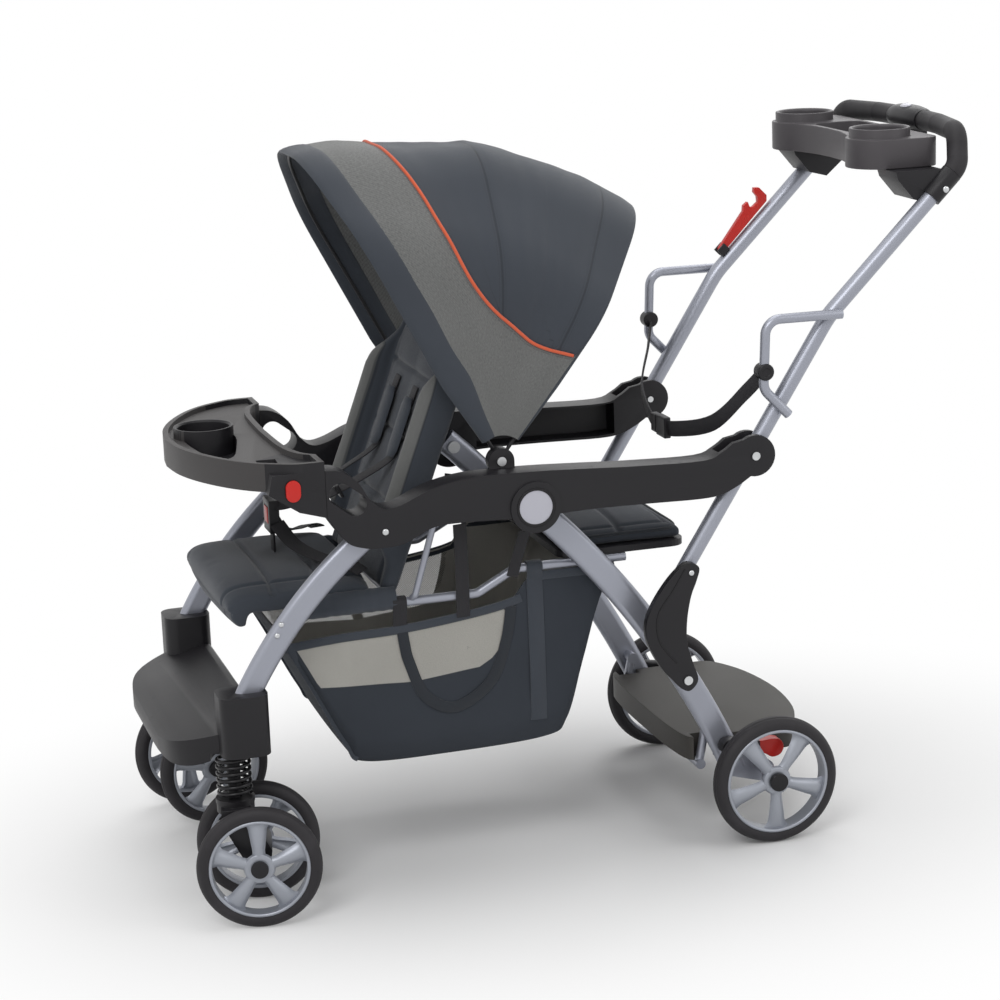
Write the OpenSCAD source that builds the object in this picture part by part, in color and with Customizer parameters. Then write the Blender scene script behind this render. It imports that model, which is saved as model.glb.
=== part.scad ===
// Tandem stroller: front seat under a folding canopy, rear bench and standing board.
// Millimetres. +Z is up, the stroller faces -X, and +Y is its right-hand side.
// The origin is on the floor under the middle of the stroller.
// Paired pieces are drawn for the right-hand side and mirrored for the left.

/* [Wheels] */
// Diameter of a rear tyre
rear_tyre_d = 204; // [180:1:230]
// Diameter of a front tyre
front_tyre_d = 186; // [160:1:200]
// Width of a rear tyre
rear_tyre_w = 30; // [24:1:36]
// Width of a front tyre
front_tyre_w = 26; // [20:1:32]
// Depth of the tyre's rubber, tread to rim
tyre_depth = 17; // [12:1:22]
// Number of spokes in a wheel
spoke_count = 5; // [3:1:8]
// Rear wheel's middle plane from the centre line
rear_wheel_y = 253; // [248:1:275]
// Distance between the two wheels of a caster
front_gauge = 116; // [106:1:130]
// Diameter of the rear axle
rear_axle_d = 12; // [10:0.5:14]
// Diameter of a front axle
front_axle_d = 10; // [8:0.5:12]

/* [Casters] */
// Distance of the swivel axis ahead of the origin
caster_x = -562; // [-572:1:-552]
// Swivel axis from the centre line
caster_y = 228; // [222:1:236]
// Distance of the front axle behind the swivel axis
caster_trail = 30; // [20:1:40]
// Turn of the casters at rest, trailing ends outward
caster_turn = 11; // [0:1:20]
// Outer diameter of a suspension spring
spring_d = 54; // [46:1:60]
// Wire diameter of a suspension spring
spring_wire = 6; // [4:0.5:7]
// Number of turns in a suspension spring
spring_turns = 6; // [4:1:6]
// Underside of the spring housings above the floor
housing_z = 252; // [246:1:262]
// Travel of the front suspension
suspension_travel = 12; // [6:1:16]

/* [Frame] */
// Rear leg pivot, along the stroller
hub_x = -90; // [-98:1:-82]
// Rear leg pivot, above the floor
hub_z = 583; // [575:1:590]
// Rear axle, along the stroller
rear_axle_x = 288; // [276:1:300]
// Lower end rivet of the handle tubes, along the stroller
foot_x = 152; // [146:1:158]
// Lower end rivet of the handle tubes, above the floor
foot_z = 455; // [448:1:462]
// Slope of the handle tubes up to their bend
tube_slope = 57; // [55:0.5:59]
// Slope of the handle tubes above their bend
tube_upper_slope = 44.7; // [42:0.1:47]
// Handle pivot from the lower end rivet, along the tube
knuckle_reach = 202.6; // [198:0.1:208]
// Tube bend from the lower end rivet, along the tube
bend_reach = 441; // [430:1:450]
// Length of a handle tube above its bend
tube_upper_l = 258; // [250:1:268]
// Diameter of the handle tubes
tube_d = 25; // [22:0.5:26]
// Wall of the frame tubes
tube_wall = 1.8; // [1.2:0.1:2.4]
// Middle plane of the side arms from the centre line
arm_y = 235; // [232:1:240]
// Thickness of a side arm
arm_t = 45; // [43:1:50]
// Wall of the moulded side arms
arm_wall = 4; // [3:0.5:6]
// Middle plane of the rear legs from the centre line
rear_leg_y = 200; // [196:1:201]
// Width of the oval front leg tubes
leg_w = 38; // [34:1:42]
// Thickness of the oval leg tubes
leg_t = 20; // [18:1:22]
// Width of the oval rear leg tubes
rear_leg_w = 42; // [38:1:44]
// Bow of a rear leg between its ends
rear_leg_bow = 34; // [30:1:36]
// Bend radius of a front leg
front_leg_r = 700; // [600:10:900]
// Top of a front leg ahead of the rear leg pivot
front_leg_ahead = 255; // [248:1:262]
// Thickness of a link cover
link_t = 14; // [10:1:16]

/* [Handle] */
// Diameter of the padded handlebar
grip_d = 32; // [28:1:34]
// Height of the handlebar's middle
grip_z = 1090; // [1084:1:1098]
// Handlebar behind the origin
grip_x = 640; // [634:1:644]
// Underside of the parent tray above the floor
parent_tray_z = 1036; // [1032:1:1040]
// Depth of the parent tray
parent_tray_h = 45; // [40:1:50]
// Length of the parent tray across the stroller
parent_tray_l = 400; // [392:1:406]
// Bore of a cup holder in the parent tray
cup_d = 80; // [70:1:84]
// Cup holder from the centre line
cup_y = 147; // [140:1:150]
// Tube diameter of the grab loops
loop_d = 15; // [12:0.5:16]

/* [Child tray] */
// Top of the child tray above the floor
tray_z = 684; // [680:1:692]
// Depth of the child tray
tray_h = 42; // [36:1:46]
// Front of the child tray ahead of the origin
tray_x = -594; // [-602:1:-586]
// Diameter of the child tray's cup recess
tray_cup_d = 80; // [60:1:84]
// Width of a release button
button_w = 22; // [18:1:24]
// Height of a release button
button_h = 32; // [26:1:34]

/* [Seats] */
// Half width of the seats
seat_half_w = 174; // [165:1:176]
// Front edge of the front seat ahead of the origin
seat_front_x = -555; // [-565:1:-545]
// Hinge of the seat back ahead of the origin
seat_hinge_x = -286; // [-294:1:-278]
// Thickness of the seat cushion
seat_t = 46; // [40:1:55]
// Slant of the seat back from upright
seat_slant = 21; // [15:1:26]
// Length of the seat back
seat_back_l = 400; // [370:1:410]
// Thickness of the seat back
seat_back_t = 32; // [24:1:38]
// Height of the seat rails above the floor
rail_z = 437; // [432:1:442]
// Diameter of the seat rails
rail_d = 14; // [12:0.5:16]
// Seat rails from the centre line
rail_y = 176; // [172:1:178]
// Length of the rear bench
bench_l = 206; // [190:1:215]
// Thickness of the rear bench pad
bench_pad_t = 34; // [28:1:40]
// Half width of the basket
basket_half_w = 180; // [170:1:182]
// Bottom of the basket above the floor
basket_z = 186; // [180:1:200]

/* [Canopy] */
// Canopy hinge ahead of the origin
canopy_x = -128; // [-134:1:-122]
// Canopy hinge above the floor
canopy_z = 648; // [646:1:656]
// Half width of the canopy
canopy_half_w = 218; // [215:1:219]
// Reach of the front bow from the hinge
canopy_front_r = 516; // [495:1:525]
// Reach of the middle of the canopy from the hinge
canopy_mid_r = 451; // [440:1:460]
// Reach of the rear bow from the hinge
canopy_rear_r = 440; // [432:1:452]
// Angle of the front bow from level rearward
canopy_front_a = 118; // [112:1:120]
// Angle of the rear bow from level rearward
canopy_rear_a = 53; // [50:1:56]
// Thickness of the canopy's cloth
cloth_t = 3; // [2:0.5:4]

/* [Standing board] */
// Top of the standing board above the floor
board_z = 164; // [158:1:172]
// Thickness of the standing board
board_t = 38; // [34:1:40]
// Rear edge of the standing board behind the origin
board_x = 394; // [384:1:404]

/* [Hidden] */
$fn = 64;
side_names = ["_l", "_r"];
side_signs = [-1, 1];

// Colours of the finishes
silver = "#a9acb6";
black_plastic = "#2f2d31";
warm_grey = "#5c5a55";
slate = "#464e56";
red_plastic = "#d9352b";
tyre_black = "#2d2a2e";
steel = "#c8cacd";
rim_silver = "#9a9fa8";

// Clearances
running_gap = 0.05;
seat_gap = 0.3;
side_gap = 0.5;

// Shared places
rear_axle_z = rear_tyre_d / 2;
front_axle_z = front_tyre_d / 2;
foot = [foot_x, foot_z];
tube_dir = [cos(tube_slope), sin(tube_slope)];
tube_upper_dir = [cos(tube_upper_slope), sin(tube_upper_slope)];
knuckle = foot + knuckle_reach * tube_dir;
tube_bend = foot + bend_reach * tube_dir;
tube_top = tube_bend + tube_upper_l * tube_upper_dir;
hub = [hub_x, hub_z];
rear_axle = [rear_axle_x, rear_axle_z];
canopy_pivot = [canopy_x, canopy_z];
arm_in = arm_y - arm_t / 2;
arm_out = arm_y + arm_t / 2;
tube_in = arm_y - tube_d / 2;
tube_out = arm_y + tube_d / 2;
rear_leg_in = rear_leg_y - leg_t / 2;
rear_leg_out = rear_leg_y + leg_t / 2;
link_in = tube_out + 2.5;
link_out = link_in + link_t;
hub_pin_d = 12;
knuckle_pin_d = 10;
link_pin_d = 10;
brake_pin_d = 8;

// Point helpers
function unit(v) = v / norm(v);
function mix(a, b, t) = a + (b - a) * t;
function clamp01(t) = min(1, max(0, t));
function arc(c, r, a0, a1, n) = [for (i = [0:n]) c + r * [cos(mix(a0, a1, i / n)),
    sin(mix(a0, a1, i / n))]];
function spline(p0, p1, p2, p3, t) =
    0.5 * (2 * p1 + (p2 - p0) * t + (2 * p0 - 5 * p1 + 4 * p2 - p3) * t * t
    + (3 * p1 - p0 - 3 * p2 + p3) * t * t * t);
function open_curve(p, n) = let (m = len(p) - 1) concat(
    [for (i = [0:m - 1], j = [0:n - 1])
        spline(p[max(i - 1, 0)], p[i], p[i + 1], p[min(i + 2, m)], j / n)],
    [p[m]]);
function closed_curve(p, n) = let (m = len(p)) [for (i = [0:m - 1], j = [0:n - 1])
    spline(p[(i + m - 1) % m], p[i], p[(i + 1) % m], p[(i + 2) % m], j / n)];
function reversed(p) = [for (i = [len(p) - 1:-1:0]) p[i]];
function shifted(p, v) = [for (q = p) q + v];
function lookup_y(p, x) = let (k = [for (i = [0:len(p) - 2]) if (p[i][0] <= x && x <= p[i + 1][0]) i][0])
    mix(p[k][1], p[k + 1][1], (x - p[k][0]) / (p[k + 1][0] - p[k][0]));

// Places a right-hand piece on either side
module on_side(sign) {
    mirror([0, sign < 0 ? 1 : 0, 0]) children();
}

// Plate with an outline in X and Z between two planes of Y
module xz_plate(points, y0, y1) {
    translate([0, y1, 0]) rotate([90, 0, 0]) linear_extrude(y1 - y0) polygon(points);
}

// Round bar along Y
module y_bar(at, d, y0, y1) {
    translate([at[0], y0, at[1]]) rotate([-90, 0, 0]) cylinder(h = y1 - y0, d = d);
}

// Oval section, long across X
module oval(w, t) {
    square([w - t, t], center = true);
    for (s = [-1, 1]) translate([s * (w - t) / 2, 0]) circle(d = t);
}

// Moves a piece drawn along Z so that it runs from a towards b
module along(a, b) {
    w = unit(b - a);
    u = unit(cross(abs(w[2]) < 0.9 ? [0, 0, 1] : [1, 0, 0], w));
    v = cross(w, u);
    multmatrix([[u[0], v[0], w[0], a[0]], [u[1], v[1], w[1], a[1]], [u[2], v[2], w[2], a[2]]]) children();
}

// Solid rod through points with round bends
module bent_rod(p, d, bend_r) {
    m = len(p) - 1;
    function setback(i) = (i == 0 || i == m) ? 0
        : bend_r * tan(acos(unit(p[i] - p[i - 1]) * unit(p[i + 1] - p[i])) / 2);
    for (i = [0:m - 1]) {
        w = unit(p[i + 1] - p[i]);
        a = p[i] + w * setback(i);
        b = p[i + 1] - w * setback(i + 1);
        along(a, b) cylinder(h = norm(b - a), d = d);
    }
    if (m > 1) for (i = [1:m - 1]) {
        w0 = unit(p[i] - p[i - 1]);
        w1 = unit(p[i + 1] - p[i]);
        turn = acos(w0 * w1);
        c = p[i] + unit(w1 - w0) * bend_r / cos(turn / 2);
        e = unit(p[i] - w0 * setback(i) - c);
        n = cross(e, w0);
        lap = 0.3 / bend_r * 180 / PI;
        multmatrix([[e[0], w0[0], n[0], c[0]], [e[1], w0[1], n[1], c[1]], [e[2], w0[2], n[2], c[2]]])
            rotate([0, 0, -lap]) rotate_extrude(angle = turn + 2 * lap) translate([bend_r, 0])
                circle(d = d + 0.06);
    }
}

// Tube through points with round bends, open at both ends
module bent_tube(p, d, wall, bend_r) {
    m = len(p) - 1;
    difference() {
        bent_rod(p, d, bend_r);
        bent_rod(concat([p[0] - unit(p[1] - p[0])], [for (i = [1:m - 1]) p[i]],
            [p[m] + unit(p[m] - p[m - 1])]), d - 2 * wall, bend_r);
    }
}

// Closed skin over rings of points, with flat ends fanned from one corner; a folded ring runs out along one
// face and back along the other
module skin(rings, folded = false, corner = 0) {
    n = len(rings[0]);
    m = len(rings);
    points = [for (r = rings) for (q = r) q];
    walls = [for (i = [0:m - 2], j = [0:n - 1]) each let (a = i * n + j, b = i * n + (j + 1) % n)
        [[a, a + n, b], [b, a + n, b + n]]];
    last = (m - 1) * n;
    flat = folded ? [for (j = [0:n / 2 - 2]) each [[j, j + 1, n - 2 - j], [j, n - 2 - j, n - 1 - j]]]
        : [for (j = [1:n - 2]) [corner, (corner + j) % n, (corner + j + 1) % n]];
    caps = [for (f = flat) each [f, [last + f[0], last + f[2], last + f[1]]]];
    polyhedron(points, concat(walls, caps), convexity = 10);
}

// Rings of a tube along a path whose width direction is given by a function of the step
function frame_rings(path, section, sideways) = let (m = len(path) - 1) [for (i = [0:m]) let (
    w = unit(path[min(i + 1, m)] - path[max(i - 1, 0)]),
    u = unit(sideways - w * (sideways * w)),
    v = cross(w, u)) [for (q = section) path[i] + q[0] * u + q[1] * v]];
function ring_section(d, sides) = [for (k = [0:sides - 1]) d / 2 * [cos(360 * k / sides),
    sin(360 * k / sides)]];
function strap_section(w, t) = [[-w / 2, -t / 2], [w / 2, -t / 2], [w / 2, t / 2], [-w / 2, t / 2]];

// Cushion lying flat: crowned top, sides drawn in between the corners, channels across its length
function pillow_top(u, v, edge, crown, channels, depth) = edge + crown * (1 - pow(u, 4)) * (1 - pow(v, 4))
    - depth * (1 - pow(v, 8)) * sumv([for (c = channels) exp(-pow((u - c) / 0.05, 2))]);
function sumv(p) = len(p) == 0 ? 0 : p * [for (q = p) 1];
module pillow(l, w, edge, crown, draw, channels = [], depth = 0, nu = 24, nv = 12) {
    function at(i, j, top) = let (u = 2 * i / nu - 1, v = 2 * j / nv - 1)
        [u * (l / 2 - draw * (1 - v * v)), v * (w / 2 - draw * (1 - u * u)),
            top ? pillow_top(u, v, edge, crown, channels, depth) : 0];
    k = nv + 1;
    n = (nu + 1) * k;
    points = [for (top = [true, false], i = [0:nu], j = [0:nv]) at(i, j, top)];
    cells = [for (i = [0:nu - 1], j = [0:nv - 1]) each let (a = i * k + j)
        [[a, a + 1, a + k], [a + 1, a + k + 1, a + k], [n + a, n + a + k, n + a + 1],
            [n + a + 1, n + a + k, n + a + k + 1]]];
    ends = [for (j = [0:nv - 1]) each let (a = j, b = nu * k + j)
        [[a, n + a, a + 1], [a + 1, n + a, n + a + 1], [b, b + 1, n + b], [b + 1, n + b + 1, n + b]]];
    sides = [for (i = [0:nu - 1]) each let (a = i * k, b = i * k + nv)
        [[a, a + k, n + a], [a + k, n + a + k, n + a], [b, n + b, b + k], [b + k, n + b, n + b + k]]];
    polyhedron(points, [for (f = concat(cells, ends, sides)) [f[0], f[2], f[1]]], convexity = 10);
}

// Wheels
rim_barrel_t = 5;
rim_web_t = 9;
web_drop = 3;
hub_boss_d = 34;
hub_window_r = 25;
window_rim = 3;
tyre_seat_gap = 0.2;
module wheel_window(r_in, r_out) {
    half = 180 / spoke_count;
    inner = half * 0.36;
    outer = half * 0.62;
    polygon(closed_curve([
        r_in * [cos(-inner), sin(-inner)], r_in * 0.96 * [1, 0], r_in * [cos(inner), sin(inner)],
        mix(r_in, r_out, 0.55) * [cos(outer * 0.9), sin(outer * 0.9)],
            r_out * 0.97 * [cos(outer), sin(outer)],
        r_out * [cos(outer * 0.6), sin(outer * 0.6)], r_out * [cos(outer * 0.6), -sin(outer * 0.6)],
        r_out * 0.97 * [cos(outer), -sin(outer)],
            mix(r_in, r_out, 0.55) * [cos(outer * 0.9), -sin(outer * 0.9)],
    ], 4));
}
// Rim lying flat with its outer face up, its middle plane at zero
module rim(tyre_d, w, bore_d) {
    r = tyre_d / 2 - tyre_depth;
    web_top = w / 2 - web_drop;
    difference() {
        union() {
            rotate_extrude() polygon([
                [r - rim_barrel_t, -w / 2 + 1], [r - 1, -w / 2 + 1], [r - 1, -w / 2 + 4],
                    [r - 3, -w / 2 + 7],
                [r - 3, w / 2 - 7], [r - 1, w / 2 - 4], [r - 1, w / 2 - 1], [r - rim_barrel_t, w / 2 - 1]]);
            translate([0, 0, web_top - rim_web_t]) cylinder(h = rim_web_t, r = r - rim_barrel_t + 1);
            translate([0, 0, -w / 2]) cylinder(h = w / 2 + web_top, d = hub_boss_d);
        }
        for (k = [0:spoke_count - 1]) rotate([0, 0, 90 + 180 / spoke_count + 360 * k / spoke_count])
            translate([0, 0, web_top - rim_web_t - 1]) linear_extrude(rim_web_t + 2)
                wheel_window(hub_window_r, r - rim_barrel_t - window_rim);
        translate([0, 0, -w]) cylinder(h = 2 * w, d = bore_d);
    }
}
module tyre(tyre_d, w) {
    r = tyre_d / 2 - tyre_depth - 1 + tyre_seat_gap;
    crown = 6;
    rotate_extrude() polygon(concat(
        [[r, -w / 2 + 4.5], [r, -w / 2 + 1], [r + 4, -w / 2]],
        [for (i = [0:8]) let (a = -90 + 180 * i / 8)
            [tyre_d / 2 - crown + crown * cos(a),
                (w / 2 - crown) * (i < 4 ? -1 : i > 4 ? 1 : 0) + crown * sin(a)]],
        [[r + 4, w / 2], [r, w / 2 - 1], [r, w / 2 - 4.5], [r - 1.6, w / 2 - 7], [r - 1.6, -w / 2 + 7]]));
}
module rear_rim(sign) color(rim_silver) on_side(sign)
    translate([rear_axle_x, rear_wheel_y, rear_axle_z]) rotate([-90, 0, 0])
        rim(rear_tyre_d, rear_tyre_w, rear_axle_d + 2 * running_gap);
module rear_tyre(sign) color(tyre_black) on_side(sign)
    translate([rear_axle_x, rear_wheel_y, rear_axle_z]) rotate([-90, 0, 0]) tyre(rear_tyre_d, rear_tyre_w);

// Casters: drawn about the swivel axis with the trail to +X, then turned and placed
module at_caster(sign) {
    translate([caster_x, sign * caster_y, 0]) rotate([0, 0, sign * caster_turn]) children();
}
module at_front_wheel(sign, outward) {
    flip = sign * outward;
    at_caster(sign) translate([caster_trail, flip * front_gauge / 2, front_axle_z])
        rotate([-90 * flip, 0, 0]) children();
}
module front_rim(sign, outward) color(rim_silver) at_front_wheel(sign, outward)
    rim(front_tyre_d, front_tyre_w, front_axle_d + 2 * running_gap);
module front_tyre(sign, outward) color(tyre_black) at_front_wheel(sign, outward)
    tyre(front_tyre_d, front_tyre_w);

cup_top_z = front_tyre_d - 1;
cup_t = 7;
stem_d = 20;
swivel_pin_d = 12;
swivel_pin_l = 34;
stem_top_z = housing_z + 48;
fork_top_z = cup_top_z - cup_t - side_gap;
fork_w = front_gauge - front_tyre_w - 14;
front_cap_y = front_gauge / 2 + front_tyre_w / 2 - web_drop + side_gap;
module suspension_stem(sign) color(black_plastic) translate([caster_x, sign * caster_y, 0]) {
    translate([0, 0, cup_top_z - cup_t]) cylinder(h = cup_t, d = spring_d + 4);
    translate([0, 0, cup_top_z - 0.5]) cylinder(h = stem_top_z - cup_top_z + 0.5, d = stem_d);
    translate([0, 0, cup_top_z - cup_t - swivel_pin_l]) cylinder(h = swivel_pin_l + 1, d = swivel_pin_d);
}
module caster_fork(sign) color(black_plastic) at_caster(sign) difference() {
    union() {
        translate([0, 0, fork_top_z - 14]) cylinder(h = 14, d = spring_d + 2);
        xz_plate(concat(
            [[-22, fork_top_z - 2], [-20, fork_top_z - 26]],
            arc([caster_trail, front_axle_z], 18, 200, 340, 10),
            [[caster_trail + 20, front_axle_z + 16], [24, fork_top_z - 18], [22, fork_top_z - 2]]),
                -fork_w / 2, fork_w / 2);
        y_bar([caster_trail, front_axle_z], front_axle_d, -front_gauge / 2 - front_tyre_w / 2 - 1,
            front_gauge / 2 + front_tyre_w / 2 + 1);
        for (s = [-1, 1]) y_bar([caster_trail, front_axle_z], hub_boss_d - 8,
            s > 0 ? front_cap_y : -front_cap_y - 5, s > 0 ? front_cap_y + 5 : -front_cap_y);
        y_bar([caster_trail, front_axle_z], 24, -front_gauge / 2 + front_tyre_w / 2 + side_gap,
            front_gauge / 2 - front_tyre_w / 2 - side_gap);
    }
    translate([0, 0, cup_top_z - cup_t - swivel_pin_l - 1])
        cylinder(h = swivel_pin_l + 20, d = swivel_pin_d + 2 * running_gap);
}

// Suspension spring: one helix with square ends of its path on the two seats
spring_rings = 8;
spring_low = cup_top_z + seat_gap + spring_wire / 2;
spring_high = housing_z - seat_gap - spring_wire / 2;
function spring_at(t) = [(spring_d - spring_wire) / 2 * cos(360 * t),
    (spring_d - spring_wire) / 2 * sin(360 * t),
    mix(spring_low, spring_high, t / spring_turns)];
spring_least_gap = min([for (i = [0:spring_rings * (spring_turns - 1)])
    norm(spring_at(i / spring_rings) - spring_at(i / spring_rings + 1))]) - spring_wire;
echo(spring_least_gap = spring_least_gap);
module spring(sign) color(black_plastic) translate([caster_x, sign * caster_y, 0])
    skin(frame_rings([for (i = [0:spring_rings * spring_turns]) spring_at(i / spring_rings)],
        ring_section(spring_wire, 6), [0, 0, 1]));

// Front legs: an oval tube on one arc, from the side arm down into the spring housing
front_leg_top = [hub_x - front_leg_ahead, hub_z - 25];
front_leg_foot = [caster_x + 16.25512, housing_z + 63.34113];
front_chord = front_leg_top - front_leg_foot;
front_leg_sweep = 2 * asin(norm(front_chord) / (2 * front_leg_r));
front_leg_slope = atan2(front_chord[1], front_chord[0]) - front_leg_sweep / 2;
front_leg_c = front_leg_top + front_leg_r * [sin(front_leg_slope), -cos(front_leg_slope)];
module front_leg_bar(w, t, extra) {
    translate([front_leg_c[0], caster_y, front_leg_c[1]]) rotate([90, 0, 0])
        rotate([0, 0, 90 + front_leg_slope - extra])
            rotate_extrude(angle = front_leg_sweep + 2 * extra) translate([front_leg_r, 0]) oval(w, t);
}
module front_leg(sign) color(silver) on_side(sign) difference() {
    front_leg_bar(leg_w, leg_t, 0);
    front_leg_bar(leg_w - 2 * tube_wall, leg_t - 2 * tube_wall, 0.2);
}

// Rear legs: an oval tube on an arc from the pivot to just ahead of the axle, with a foot plate round the
// axle
leg_run = rear_axle - [33, 26] - hub;
leg_chord = norm(leg_run);
leg_along = leg_run / leg_chord;
leg_out = [-leg_along[1], leg_along[0]];
function leg_point(t) = hub + t * leg_run + 4 * rear_leg_bow * t * (1 - t) * leg_out;
rear_leg_r = leg_chord * leg_chord / (8 * rear_leg_bow) + rear_leg_bow / 2;
rear_leg_c = hub + leg_run / 2 + (rear_leg_bow - rear_leg_r) * leg_out;
leg_half_a = asin(leg_chord / 2 / rear_leg_r);
leg_mid_a = atan2(leg_out[1], leg_out[0]);
leg_end_a = 16 / rear_leg_r * 180 / PI;
leg_cut_a = leg_half_a * 0.11;
leg_foot = leg_point(0.93);
leg_foot_r = 18;
link_low = leg_point(0.615) - 7 * leg_out;
brake_pivot = leg_point(0.86);
brace_point = leg_point(0.80);
module rear_leg_bar(w, t, extra) {
    translate([rear_leg_c[0], rear_leg_y, rear_leg_c[1]]) rotate([90, 0, 0])
        rotate([0, 0, leg_mid_a - leg_half_a + leg_cut_a - extra])
            rotate_extrude(angle = 2 * (leg_half_a + extra) + leg_end_a - leg_cut_a)
                translate([rear_leg_r, 0]) oval(w, t);
}
module leg_foot_plate() {
    turn = atan2(rear_axle[1] - leg_foot[1], rear_axle[0] - leg_foot[0]);
    xz_plate(concat(arc(leg_foot, leg_foot_r, turn + 90, turn + 270, 10),
        arc(rear_axle, leg_foot_r, turn - 90, turn + 90, 10)),
        rear_leg_in + 1.5, rear_leg_out - 1.5);
}
module rear_leg(sign) color(silver) on_side(sign) difference() {
    union() {
        difference() {
            rear_leg_bar(rear_leg_w, leg_t, 0);
            rear_leg_bar(rear_leg_w - 2 * tube_wall, leg_t - 2 * tube_wall, 0.1);
        }
        leg_foot_plate();
    }
    for (h = [[hub, hub_pin_d], [rear_axle, rear_axle_d], [link_low, link_pin_d],
        [brake_pivot, brake_pin_d]])
        y_bar(h[0], h[1] + 2 * running_gap, rear_leg_in - 1, rear_leg_out + 1);
}

// Side arms: a moulded shell from the tray's seam past the hub to the clevis of the handle
arm_seam = 316;
arm_nose = hub - [arm_seam, 0];
arm_nose_top = [[0, 87], [24, 83], [48, 65], [66, 36], [86, 21], [113, 25], [151, 41], [191, 51],
    [236, 55]];
arm_nose_low = [[0, 17], [16, -8], [31, -26], [51, -34], [71, -37], [106, -36], [131, -27], [161, -14],
    [201, -12], [256, -14]];
arm_mid_top = [[0, 54], [80, 50], [170, 45]];
arm_mid_low = [[0, -16], [80, -13], [170, -14]];
knuckle_r = 32;
arm_tail_top = [[-84, 1], [-54, 11], [-36, 23]];
arm_tail_low = [[-92, -58], [-54, -54], [-24, -41]];
arm_top = concat(shifted(arm_nose_top, arm_nose), shifted(arm_mid_top, hub),
    shifted(arm_tail_top, knuckle));
arm_low = concat(shifted(arm_nose_low, arm_nose), shifted(arm_mid_low, hub),
    shifted(arm_tail_low, knuckle));
arm_outline = concat(open_curve(arm_top, 4), arc(knuckle, knuckle_r, 125, -105, 20),
    reversed(open_curve(arm_low, 4)));
clevis_l = 57;
clevis_w = tube_d + 1.2;
finger_hole = arm_nose + [32, 41];
finger_hole_l = 62;
finger_hole_w = 34;
finger_hole_turn = -38;
hub_disc_d = 78;
hub_disc_proud = 5;
badge_d = 60;
badge_depth = 2;
lug_r = 20;
lug_t = 6;
lug_y = arm_in;
canopy_pin_d = 10;
bow_disc_t = 6;
function band(p, q, x0, x1, inset, n) = let (c = open_curve(p, 4), d = open_curve(q, 4)) concat(
    [for (i = [0:n]) let (x = mix(x0, x1, i / n)) [x, lookup_y(c, x) - inset]],
    [for (i = [n:-1:0]) let (x = mix(x0, x1, i / n)) [x, lookup_y(d, x) + inset]]);
module side_arm(sign) color(black_plastic) on_side(sign) difference() {
    union() {
        xz_plate(arm_outline, arm_in, arm_out);
        y_bar(hub, hub_disc_d, arm_in, arm_out + hub_disc_proud);
        y_bar(canopy_pivot, 2 * lug_r, lug_y, lug_y + lug_t);
        translate([canopy_x - lug_r, lug_y, hub_z + 30]) cube([2 * lug_r, lug_t, canopy_z - hub_z - 30]);
    }
    translate([finger_hole[0], arm_in - 1, finger_hole[1]]) rotate([-90, 0, 0])
        rotate([0, 0, -finger_hole_turn])
        linear_extrude(arm_t + 2) oval(finger_hole_l, finger_hole_w);
    xz_plate(band(arm_top, arm_low, hub_x + 46, knuckle[0] - clevis_l - 8, arm_wall, 8), arm_in - 1,
        arm_out - arm_wall);
    xz_plate(band(arm_top, arm_low, arm_nose[0] + 151, hub_x - 46, arm_wall, 6), arm_in - 1,
        arm_out - arm_wall);
    translate([knuckle[0] - clevis_l, arm_y - clevis_w / 2, knuckle[1] - 100]) cube([200, clevis_w, 200]);
    y_bar(knuckle, knuckle_pin_d + 2 * running_gap, arm_in - 1, arm_out + 1);
    y_bar(hub, hub_pin_d + 2 * running_gap, arm_in - 1, arm_out - 8);
    y_bar(hub, badge_d, arm_out + hub_disc_proud - badge_depth, arm_out + hub_disc_proud + 1);
    y_bar(canopy_pivot, canopy_pin_d + 2 * running_gap, lug_y - 1, lug_y + lug_t + 1);
    front_leg_bar(leg_w + 2 * side_gap, leg_t + 2 * side_gap, 0.4);
}

// Pivot pins fixed in the side arms, and the canopy's hinge pins
module frame_pins() color(steel) for (s = side_signs) on_side(s) {
    y_bar(hub, hub_pin_d, rear_leg_in - 4, arm_out - 9);
    y_bar(hub, hub_pin_d + 8, rear_leg_in - 6, rear_leg_in - side_gap);
    y_bar(knuckle, knuckle_pin_d, arm_in - 2, arm_out + 2);
    y_bar(knuckle, knuckle_pin_d + 3, arm_out + 0.1, arm_out + 3);
    y_bar(canopy_pivot, canopy_pin_d, lug_y - 2 * bow_disc_t - 4, lug_y + lug_t);
    y_bar(canopy_pivot, canopy_pin_d + 4, lug_y + lug_t + 0.1, lug_y + lug_t + 2);
}

// Pins fixed in the rear legs for the links and the brake levers
lever_in = rear_leg_out + 3;
lever_out = rear_wheel_y - rear_tyre_w / 2 - 4;
module leg_pins() color(steel) for (s = side_signs) on_side(s) {
    y_bar(link_low, link_pin_d, rear_leg_in - 2, link_out);
    y_bar(link_low, link_pin_d + 4, link_out + 0.1, link_out + 3);
    y_bar(brake_pivot, brake_pin_d, rear_leg_in - 2, lever_out + 2);
}

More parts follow.
